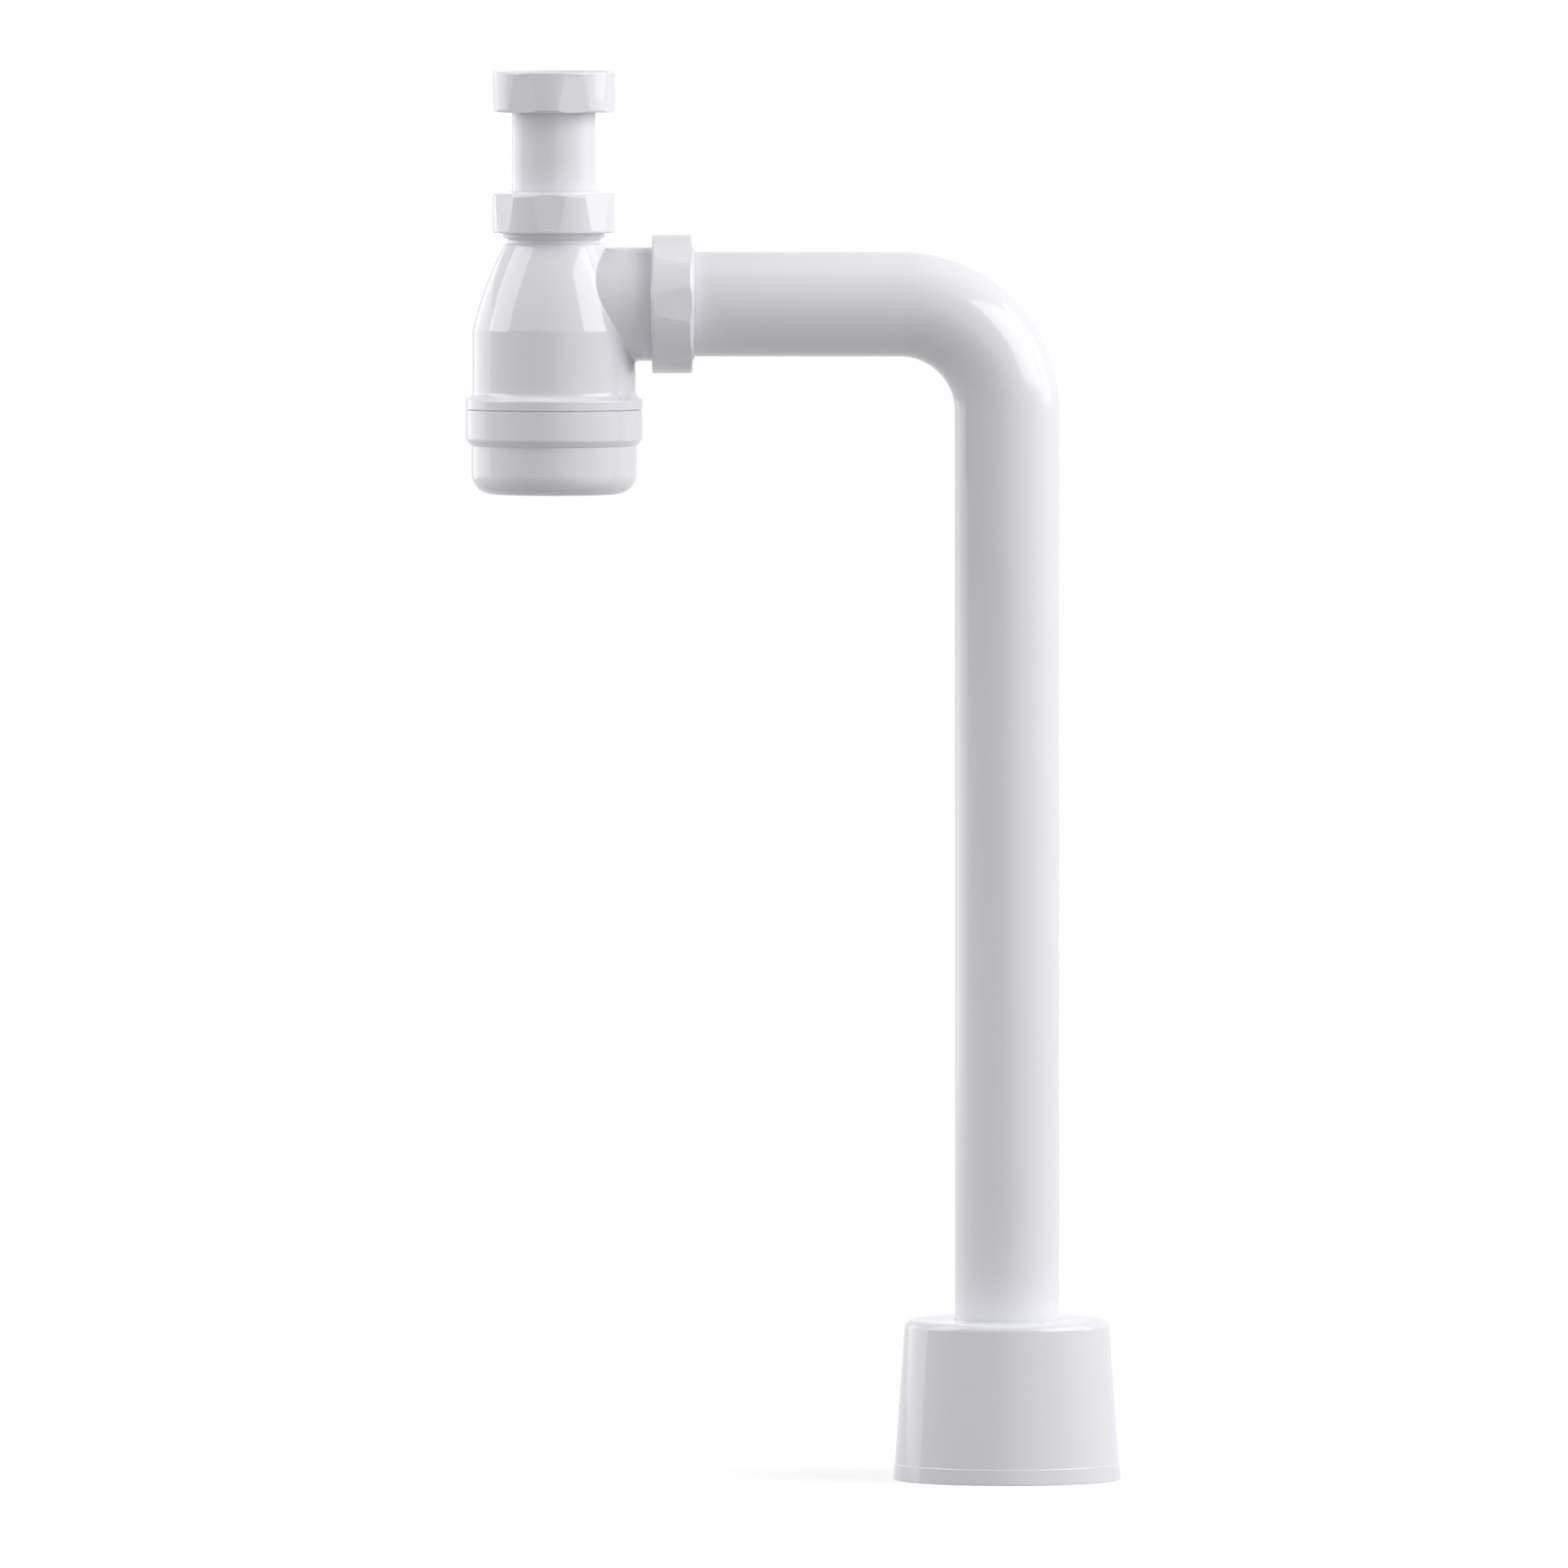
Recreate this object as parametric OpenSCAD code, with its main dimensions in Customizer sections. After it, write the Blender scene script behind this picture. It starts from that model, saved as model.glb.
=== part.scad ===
// Washbasin bottle trap with a screw cup, a bent outlet pipe and a floor cover.
// +Z is up and +X points to the outlet. The front view looks along +Y.
// The origin is the centre of the inlet's sealing face, where the sink waste seats.
// Threads are drawn as plain cylinders at their minor radius.

/* [Inlet] */
// Minor radius of the inlet thread, size G 1 1/4
inlet_thread_r = 19.5; // [18.5:0.1:24]
// Length of the inlet thread above the sealing face
inlet_thread_l = 8.2; // [6:0.1:14]
// Thickness of the flat inlet gasket
inlet_gasket_t = 2; // [1:0.1:4]
// Thickness of the flange at the top of the inlet tube
tube_flange_t = 2; // [1.5:0.1:4]
// Outer radius of the inlet tube
inlet_tube_r = 16; // [14:0.1:17]
// Wall of the inlet tube
inlet_tube_wall = 1.8; // [1.2:0.1:3]
// Length of tube in sight between the inlet nut and the neck nut
tube_in_sight = 31; // [12:1:60]
// Water gap between the tube's lower end and the floor of the cup
dip_gap = 18; // [13:0.5:30]

/* [Union nuts] */
// Wall of a nut outside its thread's minor radius
nut_wall = 4; // [3.2:0.1:6]
// Thickness of the end wall that bears on the ring or flange
nut_end_wall = 2.5; // [2:0.1:4]
// Height of the round rim at the threaded end
nut_rim_h = 1.2; // [0.8:0.1:3]
// Number of gripping flats
nut_flats = 7; // [6:1:10]
// Depth of a flat beside the rim
nut_flat_depth = 0.3; // [0.2:0.05:1]
// Depth of a flat at the small end
nut_flat_depth_end = 0.9; // [0.5:0.05:1.6]
// Rounding of the small end
nut_round = 1.3; // [0.4:0.1:2]
// Height of the lip round the tube on the neck and outlet nuts
nut_lip_h = 0.7; // [0.3:0.1:2]
// Width of that lip
nut_lip_w = 0.9; // [0.6:0.1:1.5]
// Chamfer that leads into a thread
thread_lead_in = 0.8; // [0.4:0.1:1.5]
// Height of the neck nut
neck_nut_h = 15; // [12:0.5:20]
// Height of the outlet nut
outlet_nut_h = 15.5; // [12:0.5:20]

/* [Seals] */
// Thickness of a slip ring
slip_ring_t = 1.6; // [1:0.1:3]
// Height of a tapered seal above the mouth that it sits in
seal_head_t = 2.4; // [1:0.1:4]
// Depth of the taper in the mouth
seal_taper_h = 2.4; // [1:0.1:4]
// Thickness of the cup's flat seal
cup_seal_t = 2; // [1:0.1:4]

/* [Bottle] */
// Wall of the neck, from its bore to the foot of its thread
neck_wall = 3.05; // [2.6:0.05:5]
// Height of the neck above the shoulder
neck_h = 12.7; // [11:0.1:20]
// Height of the groove below the neck's thread
neck_groove_h = 1.4; // [0.8:0.1:2]
// Depth of the groove below the neck's thread
neck_groove_depth = 1.1; // [0.5:0.1:1.4]
// Rounding at the top of the shoulder
shoulder_round = 1.8; // [1:0.1:4]
// Height of the domed shoulder
shoulder_h = 33.5; // [28:0.5:45]
// Radius of the shoulder's curve, seen from the side
shoulder_curve_r = 118; // [80:1:300]
// Outer radius of the bottle
bottle_r = 31.2; // [29:0.1:40]
// Wall of the bottle
bottle_wall = 2.4; // [1.8:0.1:2.8]
// Height of the bottle's straight side above its flange
side_h = 25.6; // [18:0.1:60]
// How far the flange and the cup's collar stand out from the bottle
collar_step = 2.6; // [1.5:0.1:6]
// Height of the bottle's flange
flange_h = 4.1; // [2.5:0.1:8]
// Rounding of the flange's upper edge
flange_round = 0.8; // [0.5:0.1:2]
// Fillet between the bottle's side and its flange
flange_fillet = 1.7; // [0.5:0.1:3]

/* [Outlet spigot] */
// Drop from the shoulder to the outlet's axis
outlet_drop = 23.2; // [22:0.1:40]
// Length of the spigot from the bottle's axis to its mouth
spigot_l = 46.5; // [44:0.5:80]
// Wall of the plain part of the spigot
spigot_wall = 1.35; // [1.2:0.05:4]
// Wall of the threaded part of the spigot
spigot_thread_wall = 2.05; // [1.8:0.05:4]
// Depth to which the outlet pipe is pushed in
pipe_insert = 16; // [8:0.5:18]

/* [Outlet pipe] */
// Outer radius of the outlet pipe
pipe_r = 20; // [18:0.1:20.5]
// Wall of the outlet pipe
pipe_wall = 1.8; // [1.2:0.1:3]
// Radius of the bend's centre line
bend_r = 41; // [32:0.5:60]
// Distance from the bottle's axis to the axis of the pipe's lower leg
pipe_reach = 173.1; // [140:1:260]
// Height of the outlet's axis above the floor
outlet_height = 449.3; // [240:1:600]
// How far the pipe's end stays above the floor
pipe_recess = 4; // [1:0.5:20]
// Bevel at the pipe's lower end
pipe_bevel = 0.8; // [0.2:0.1:1]

/* [Cup] */
// Height of the cup's collar
collar_h = 13.4; // [13:0.1:25]
// Chamfer below the collar, measured across
collar_chamfer_w = 1.8; // [0.6:0.1:2]
// Chamfer below the collar, measured up
collar_chamfer_h = 2.3; // [0.8:0.1:4]
// How far the bowl stands out from the bottle's radius
bowl_step = 0.4; // [0:0.1:1]
// Height of the bowl below the collar
bowl_h = 18.8; // [14:0.1:50]
// Rounding at the foot of the bowl
bowl_round = 8; // [3:0.1:10]
// Wall of the cup
cup_wall = 2.4; // [1.8:0.1:3]
// Depth of the cup's thread above its inner ledge
cup_thread_depth = 10.5; // [8:0.1:10.9]
// Open seam between the flange and the collar
seam_gap = 0.4; // [0.2:0.1:1]

/* [Floor cover] */
// Height of the cover
cover_h = 61.2; // [30:0.1:100]
// Radius of the cover at its top
cover_top_r = 39.3; // [30:0.1:60]
// Radius of the cover above its lip
cover_foot_r = 43; // [32:0.1:70]
// Height of the lip round the foot
cover_lip_h = 5.9; // [2:0.1:12]
// How far the lip stands out
cover_lip_out = 0.6; // [0.3:0.1:2]
// Wall of the cover
cover_wall = 1.8; // [1.2:0.1:3]
// Rounding of the cover's top edge
cover_round = 3.5; // [2.5:0.1:8]

/* [Fits] */
// Radial gap between a seal and the tube it grips, before it is squeezed
seal_gap = 0.05; // [0.02:0.01:0.1]
// Radial gap between a slip ring or cover and its tube
slide_gap = 0.1; // [0.05:0.01:0.3]
// Radial gap between a tube and the bores it passes through
bore_gap = 0.35; // [0.3:0.05:0.6]
// Radial gap between a nut or cup and its thread
thread_gap = 0.1; // [0.05:0.01:0.3]
// Radial gap between a loose ring and the nut round it
ring_gap = 0.5; // [0.3:0.05:0.8]

/* [Turn of the nuts] */
// Direction of one flat's middle on the inlet nut, anticlockwise from +X
inlet_nut_turn = 33; // [0:0.5:60]
// Direction of one flat's middle on the neck nut, anticlockwise from +X
neck_nut_turn = 8.5; // [0:0.5:60]
// Direction of one flat's middle on the outlet nut, upwards from the front
outlet_nut_turn = 1; // [0:0.5:60]

/* [Hidden] */

$fn = 96;
// Straight pieces that draw a rounded corner of an outline
corner_steps = 6;
// Straight pieces that draw the shoulder's long curve
shoulder_steps = 14;
// Length by which a cutter passes a face that it opens
over = 1;

plastic = [0.93, 0.93, 0.95];
rubber = [0.16, 0.16, 0.17];

// Inlet, from the sealing face down
inlet_tube_bore_r = inlet_tube_r - inlet_tube_wall;
inlet_mouth_z = inlet_thread_l + thread_lead_in;
inlet_shoulder_z = -inlet_gasket_t - tube_flange_t;
inlet_nut_h = inlet_mouth_z - inlet_shoulder_z + nut_end_wall;
inlet_relief_r = inlet_thread_r + 0.8;
inlet_loose_r = inlet_thread_r - ring_gap;

// Neck, from the neck nut down
neck_bore_r = inlet_tube_r + bore_gap;
neck_thread_r = neck_bore_r + neck_wall;
neck_nut_top_z = inlet_shoulder_z - nut_end_wall - tube_in_sight;
neck_ring_top_z = neck_nut_top_z - nut_end_wall;
neck_seal_top_z = neck_ring_top_z - slip_ring_t;
neck_mouth_z = neck_seal_top_z - seal_head_t;
groove_r = neck_thread_r - neck_groove_depth;
shoulder_z = neck_mouth_z - neck_h;

// Bottle, flange and skirt
bottle_bore_r = bottle_r - bottle_wall;
side_top_z = shoulder_z - shoulder_h;
flange_top_z = side_top_z - side_h;
flange_base_z = flange_top_z - flange_h;
collar_r = bottle_r + collar_step;
skirt_r = bottle_r - 0.3;
skirt_end_z = flange_base_z - seam_gap - cup_thread_depth + cup_seal_t;

// Cup
cup_top_z = flange_base_z - seam_gap;
cup_thread_r = skirt_r + thread_gap;
cup_ledge_z = cup_top_z - cup_thread_depth;
collar_base_z = cup_top_z - collar_h;
bowl_r = bottle_r + bowl_step;
bowl_bore_r = bowl_r - cup_wall;
bowl_base_z = collar_base_z - bowl_h;
tube_end_z = bowl_base_z + cup_wall + dip_gap;

// Outlet, from the bottle's axis along +X
outlet_z = shoulder_z - outlet_drop;
pipe_bore_r = pipe_r - pipe_wall;
socket_r = pipe_r + bore_gap;
spigot_r = socket_r + spigot_wall;
spigot_thread_r = socket_r + spigot_thread_wall;
outlet_seal_x = spigot_l + seal_head_t;
outlet_ring_x = outlet_seal_x + slip_ring_t;
outlet_nut_x = outlet_ring_x + nut_end_wall;
spigot_thread_l = outlet_nut_h - nut_end_wall - slip_ring_t - seal_head_t;
pipe_start_x = spigot_l - pipe_insert;
floor_z = outlet_z - outlet_height;
pipe_end_z = floor_z + pipe_recess;
cover_top_z = floor_z + cover_h;

// Points on an arc about c, from angle a to angle b
function arc(c, r, a, b, steps = corner_steps) =
    [for (i = [0:steps]) let (t = a + (b - a) * i / steps) c + r * [cos(t), sin(t)]];

// Centre of the circle of radius r through p and q, on the left of the way from p to q
function arc_centre(p, q, r) =
    let (d = q - p, half = norm(d) / 2)
    (p + q) / 2 + sqrt(r * r - half * half) * [-d.y, d.x] / (2 * half);

// Direction of p seen from c
function heading(c, p) = atan2(p.y - c.y, p.x - c.x);

// A plain ring from z = 0 up
module ring(outer_r, inner_r, h) {
    difference() {
        cylinder(h = h, r = outer_r);
        translate([0, 0, -over]) cylinder(h = h + 2 * over, r = inner_r);
    }
}

// Lay a piece that is made about +Z along the outlet, with z = 0 at the given x
module along_outlet(x) {
    translate([x, 0, outlet_z]) rotate([0, 90, 0]) children();
}

// Union nut from its small end at z = 0 up to its threaded rim at z = h, with a lip below z = 0
module union_nut(thread_r, hole_r, h, turn, thread_start, lip_h) {
    outer_r = thread_r + nut_wall;
    flat_run = h - nut_rim_h;
    tilt = atan((nut_flat_depth_end - nut_flat_depth) / flat_run);
    difference() {
        rotate_extrude() polygon(concat(
            [[0, -lip_h], [hole_r + nut_lip_w, -lip_h], [hole_r + nut_lip_w, 0]],
            arc([outer_r - nut_round, nut_round], nut_round, -90, 0),
            arc([outer_r - nut_rim_h / 2, h - nut_rim_h / 2], nut_rim_h / 2, 0, 90),
            [[0, h]]
        ));
        // Flats lean in towards the small end and stop below the rim
        for (i = [0:nut_flats - 1])
            rotate(turn + i * 360 / nut_flats)
            translate([outer_r - nut_flat_depth, 0, flat_run])
            rotate([0, -tilt, 0])
            translate([0, -outer_r, -2 * h])
            cube([outer_r, 2 * outer_r, 2 * h]);
        // Thread, its lead-in and the hole for the tube
        translate([0, 0, thread_start]) cylinder(h = h - thread_start + over, r = thread_r);
        translate([0, 0, h - thread_lead_in])
            cylinder(h = thread_lead_in, r1 = thread_r, r2 = thread_r + thread_lead_in);
        translate([0, 0, -lip_h - over]) cylinder(h = h, r = hole_r);
    }
}

// Tapered seal with its head from z = 0 up and its taper down in the mouth
module taper_seal(head_r, grip_r, mouth_r, bore_r) {
    foot = seal_taper_h - 0.1;
    foot_r = mouth_r - (mouth_r - bore_r) * foot / seal_taper_h;
    rotate_extrude() polygon([
        [grip_r, seal_head_t], [head_r, seal_head_t], [head_r, 0],
        [mouth_r - seal_gap, 0], [foot_r - seal_gap, -foot], [grip_r, -foot]
    ]);
}

// Conical mouth for a tapered seal, cut down from z = 0
module seal_mouth(mouth_r, bore_r) {
    translate([0, 0, -seal_taper_h]) cylinder(h = seal_taper_h, r1 = bore_r, r2 = mouth_r);
}

// Union nut on the tube's flange, thread up
module inlet_nut() {
    color(plastic)
    translate([0, 0, inlet_shoulder_z - nut_end_wall])
    difference() {
        union_nut(inlet_thread_r, inlet_tube_r + bore_gap, inlet_nut_h, inlet_nut_turn, nut_end_wall, 0);
        // Relief below the thread, round the gasket and the flange
        translate([0, 0, nut_end_wall])
            cylinder(h = inlet_gasket_t + tube_flange_t, r = inlet_relief_r);
    }
}

// Flat washer on the tube's flange
module inlet_gasket() {
    color(rubber)
    translate([0, 0, -inlet_gasket_t])
    ring(inlet_loose_r, inlet_tube_bore_r, inlet_gasket_t);
}

// Flanged tube that runs down into the cup
module inlet_tube() {
    color(plastic)
    difference() {
        union() {
            translate([0, 0, inlet_shoulder_z]) cylinder(h = tube_flange_t, r = inlet_loose_r);
            translate([0, 0, tube_end_z])
                cylinder(h = inlet_shoulder_z - tube_end_z + tube_flange_t / 2, r = inlet_tube_r);
        }
        translate([0, 0, tube_end_z - over])
            cylinder(h = -tube_end_z + 2 * over, r = inlet_tube_bore_r);
    }
}

// Union nut over the neck, thread down
module neck_nut() {
    color(plastic)
    translate([0, 0, neck_nut_top_z])
    mirror([0, 0, 1])
    union_nut(neck_thread_r + thread_gap, inlet_tube_r + bore_gap, neck_nut_h,
              neck_nut_turn, nut_end_wall, nut_lip_h);
}

// Hard ring between the neck nut and its seal
module neck_slip_ring() {
    color(plastic)
    translate([0, 0, neck_seal_top_z])
    ring(neck_thread_r + thread_gap - ring_gap, inlet_tube_r + slide_gap, slip_ring_t);
}

// Tapered seal in the mouth of the neck
module neck_seal() {
    color(rubber)
    translate([0, 0, neck_mouth_z])
    taper_seal(neck_thread_r + thread_gap - ring_gap, inlet_tube_r + seal_gap,
               neck_thread_r - ring_gap, neck_bore_r);
}

// Outline of the bottle from its axis out and down, neck first
module bottle_outline() {
    top = [groove_r + shoulder_round, shoulder_z - shoulder_round];
    foot = [bottle_r, side_top_z];
    centre = arc_centre(foot, top, shoulder_curve_r);
    round_centre = top - shoulder_round * [cos(heading(centre, top)), sin(heading(centre, top))];
    polygon(concat(
        [
            [0, neck_mouth_z],
            [neck_thread_r - thread_lead_in, neck_mouth_z],
            [neck_thread_r, neck_mouth_z - thread_lead_in],
            [neck_thread_r, shoulder_z + neck_groove_h + neck_groove_depth],
            [groove_r, shoulder_z + neck_groove_h],
            [groove_r, round_centre.y + shoulder_round]
        ],
        arc(round_centre, shoulder_round, 90, heading(centre, top)),
        arc(centre, shoulder_curve_r, heading(centre, top), heading(centre, foot), shoulder_steps),
        arc([bottle_r + flange_fillet, flange_top_z + flange_fillet], flange_fillet, 180, 270),
        arc([collar_r - flange_round, flange_top_z - flange_round], flange_round, 90, 0),
        [
            [collar_r, flange_base_z],
            [skirt_r, flange_base_z],
            [skirt_r, skirt_end_z],
            [0, skirt_end_z]
        ]
    ));
}

// Space inside the bottle, from the neck's mouth to the open foot
module bottle_space() {
    top = [neck_bore_r + bottle_wall / 2, shoulder_z - bottle_wall];
    foot = [bottle_bore_r, side_top_z];
    centre = arc_centre(foot, top, shoulder_curve_r);
    polygon(concat(
        [[0, neck_mouth_z + over], [neck_bore_r, neck_mouth_z + over], [neck_bore_r, top.y + bottle_wall / 2]],
        arc(centre, shoulder_curve_r, heading(centre, top), heading(centre, foot), shoulder_steps),
        [[bottle_bore_r, skirt_end_z - over], [0, skirt_end_z - over]]
    ));
}

// Blown body with neck, shoulder, side spigot, flange and threaded skirt
module bottle() {
    color(plastic)
    difference() {
        union() {
            rotate_extrude() bottle_outline();
            along_outlet(0) {
                cylinder(h = spigot_l - spigot_thread_l / 2, r = spigot_r);
                translate([0, 0, spigot_l - spigot_thread_l])
                    cylinder(h = spigot_thread_l, r = spigot_thread_r);
            }
        }
        rotate_extrude() bottle_space();
        translate([0, 0, neck_mouth_z]) seal_mouth(neck_thread_r - ring_gap, neck_bore_r);
        along_outlet(0) {
            cylinder(h = spigot_l, r = pipe_bore_r);
            translate([0, 0, pipe_start_x]) cylinder(h = pipe_insert + over, r = socket_r);
            translate([0, 0, spigot_l]) seal_mouth(spigot_thread_r - ring_gap, socket_r);
        }
    }
}

// Screw cup with a threaded collar and a rounded bowl
module cup() {
    inner_round = bowl_round - cup_wall;
    color(plastic)
    difference() {
        rotate_extrude() polygon(concat(
            [
                [0, cup_top_z],
                [collar_r - thread_lead_in / 2, cup_top_z],
                [collar_r, cup_top_z - thread_lead_in / 2],
                [collar_r, collar_base_z + collar_chamfer_h],
                [collar_r - collar_chamfer_w, collar_base_z],
                [bowl_r, collar_base_z]
            ],
            arc([bowl_r - bowl_round, bowl_base_z + bowl_round], bowl_round, 0, -90),
            [[0, bowl_base_z]]
        ));
        rotate_extrude() polygon(concat(
            [
                [0, cup_top_z + over],
                [cup_thread_r, cup_top_z + over],
                [cup_thread_r, cup_ledge_z],
                [bowl_bore_r, cup_ledge_z]
            ],
            arc([bowl_bore_r - inner_round, bowl_base_z + bowl_round], inner_round, 0, -90),
            [[0, bowl_base_z + cup_wall]]
        ));
    }
}

// Flat seal on the ledge inside the cup's collar
module cup_seal() {
    color(rubber)
    translate([0, 0, cup_ledge_z])
    ring(skirt_r - ring_gap / 2, bowl_bore_r, cup_seal_t);
}

// Union nut over the spigot, thread towards the bottle
module outlet_nut() {
    color(plastic)
    along_outlet(outlet_nut_x)
    mirror([0, 0, 1])
    union_nut(spigot_thread_r + thread_gap, pipe_r + bore_gap, outlet_nut_h,
              -90 - outlet_nut_turn, nut_end_wall, nut_lip_h);
}

// Hard ring between the outlet nut and its seal
module outlet_slip_ring() {
    color(plastic)
    along_outlet(outlet_seal_x)
    ring(spigot_thread_r + thread_gap - ring_gap, pipe_r + slide_gap, slip_ring_t);
}

// Tapered seal in the mouth of the spigot
module outlet_seal() {
    color(rubber)
    along_outlet(spigot_l)
    taper_seal(spigot_thread_r + thread_gap - ring_gap, pipe_r + seal_gap,
               spigot_thread_r - ring_gap, socket_r);
}

// Solid run of the outlet pipe at radius r, lengthened at both ends by extra
module pipe_run(r, extra) {
    along_outlet(pipe_start_x - extra)
        cylinder(h = pipe_reach - bend_r - pipe_start_x + extra, r = r);
    translate([pipe_reach - bend_r, 0, outlet_z - bend_r])
        rotate([90, 0, 0])
        rotate_extrude(angle = 90)
        translate([bend_r, 0]) circle(r = r);
    translate([pipe_reach, 0, pipe_end_z - extra])
        cylinder(h = outlet_z - bend_r - pipe_end_z + extra, r = r);
}

// Pipe with one formed bend, bevelled at its lower end
module outlet_pipe() {
    color(plastic)
    difference() {
        pipe_run(pipe_r, 0);
        pipe_run(pipe_bore_r, over);
        translate([pipe_reach, 0, pipe_end_z - over])
            difference() {
                cylinder(h = 3 * pipe_bevel + over, r = pipe_r + over);
                translate([0, 0, over])
                    cylinder(h = 3 * pipe_bevel + over, r1 = pipe_r - pipe_bevel, r2 = pipe_r + over / 3);
            }
    }
}

// Outline of the cover, drawn in by inset for its inner face
module cover_outline(inset) {
    round_r = cover_round - inset;
    top_r = cover_top_r - inset;
    foot_r = cover_foot_r - inset;
    top_z = cover_h - inset;
    lean = atan((cover_foot_r - cover_top_r) / (cover_h - cover_lip_h));
    polygon(concat(
        [[0, top_z]],
        arc([top_r - round_r, top_z - round_r], round_r, 90, lean),
        [[foot_r, cover_lip_h], [foot_r, 0], [0, 0]]
    ));
}

// Tapered cover cup with a small lip, open below
module floor_cover() {
    color(plastic)
    translate([pipe_reach, 0, floor_z])
    difference() {
        union() {
            rotate_extrude() cover_outline(0);
            cylinder(h = cover_lip_h, r = cover_foot_r + cover_lip_out);
        }
        rotate_extrude() cover_outline(cover_wall);
        translate([0, 0, -over]) cylinder(h = cover_h + 2 * over, r = pipe_r + slide_gap);
        translate([0, 0, -over]) cylinder(h = 2 * over, r = cover_foot_r - cover_wall);
    }
}

inlet_nut();
inlet_gasket();
inlet_tube();
neck_nut();
neck_slip_ring();
neck_seal();
bottle();
cup();
cup_seal();
outlet_nut();
outlet_slip_ring();
outlet_seal();
outlet_pipe();
floor_cover();
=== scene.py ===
"""White washbasin bottle trap with a bent outlet pipe and a tall floor cover, dressed for a plain studio picture."""

import logging
import math
from dataclasses import dataclass
from enum import Enum
from functools import cache

import bmesh
import bpy
from mathutils import Matrix, Vector


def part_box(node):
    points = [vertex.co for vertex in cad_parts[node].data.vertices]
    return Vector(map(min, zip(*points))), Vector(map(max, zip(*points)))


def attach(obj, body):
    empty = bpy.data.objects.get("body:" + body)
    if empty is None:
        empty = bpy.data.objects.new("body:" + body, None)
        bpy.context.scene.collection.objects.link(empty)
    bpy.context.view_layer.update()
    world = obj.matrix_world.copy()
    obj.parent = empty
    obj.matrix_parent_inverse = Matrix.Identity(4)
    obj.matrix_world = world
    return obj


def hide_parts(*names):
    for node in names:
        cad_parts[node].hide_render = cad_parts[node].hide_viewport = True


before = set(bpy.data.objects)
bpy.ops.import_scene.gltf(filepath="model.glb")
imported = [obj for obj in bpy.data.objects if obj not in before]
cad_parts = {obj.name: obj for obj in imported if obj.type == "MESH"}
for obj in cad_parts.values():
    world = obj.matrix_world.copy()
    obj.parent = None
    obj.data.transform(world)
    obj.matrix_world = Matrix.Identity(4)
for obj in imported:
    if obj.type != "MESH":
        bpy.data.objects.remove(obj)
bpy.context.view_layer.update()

LOG = logging.getLogger("sink_trap")
MM = 0.001
X, Y, Z = range(3)
OVER = 1.0  # how far a cutter passes the face that it opens, in millimetres
SHARP = math.radians(38)  # edges that turn more than this stay crisp

BMesh = bmesh.types.BMesh
Point = tuple[float, float]


class Slot(Enum):
    """Names of material slots; no piece in this script takes its finish from them."""

    MOULDED = "moulded_plastic"
    BOTTLE = "bottle_plastic"
    CUP = "cup_plastic"
    PIPE = "pipe_plastic"
    COVER = "cover_plastic"
    RING = "ring_plastic"
    SEAL = "seal_rubber"


@cache
def span(node: str, axis: int) -> tuple[float, float]:
    """Find how far a CAD node reaches along one axis.

    Args:
        node: Name of the CAD node.
        axis: X, Y or Z.

    Returns:
        The lowest and the highest place, in millimetres.
    """
    low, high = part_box(node)
    return low[axis] / MM, high[axis] / MM


# Finishes


def linear(colour: str) -> tuple[float, float, float, float]:
    """Turn an sRGB hex colour to the linear values that the shaders take.

    Args:
        colour: Six hex digits, such as "F2F2F5".

    Returns:
        Red, green, blue and an alpha of 1.
    """
    parts = [int(colour[i:i + 2], 16) / 255 for i in (0, 2, 4)]
    red, green, blue = (p / 12.92 if p <= 0.04045 else ((p + 0.055) / 1.055) ** 2.4 for p in parts)
    return red, green, blue, 1.0


def add_node(
    tree: bpy.types.NodeTree,
    kind: str,
    settings: dict[str, object] | None = None,
    links: dict[str, bpy.types.NodeSocket] | None = None,
) -> bpy.types.Node:
    """Add a shader node with its settings and its incoming links.

    Args:
        tree: Node tree that gets the node.
        kind: Blender's name for the node's type.
        settings: Values by the name of the node's property or input socket.
        links: Output sockets by the name of the input that they feed.

    Returns:
        The new node.
    """
    node = tree.nodes.new(kind)
    for name, value in (settings or {}).items():
        if hasattr(node, name):
            setattr(node, name, value)
        else:
            node.inputs[name].default_value = value
    for name, source in (links or {}).items():
        tree.links.new(source, node.inputs[name])
    return node


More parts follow.
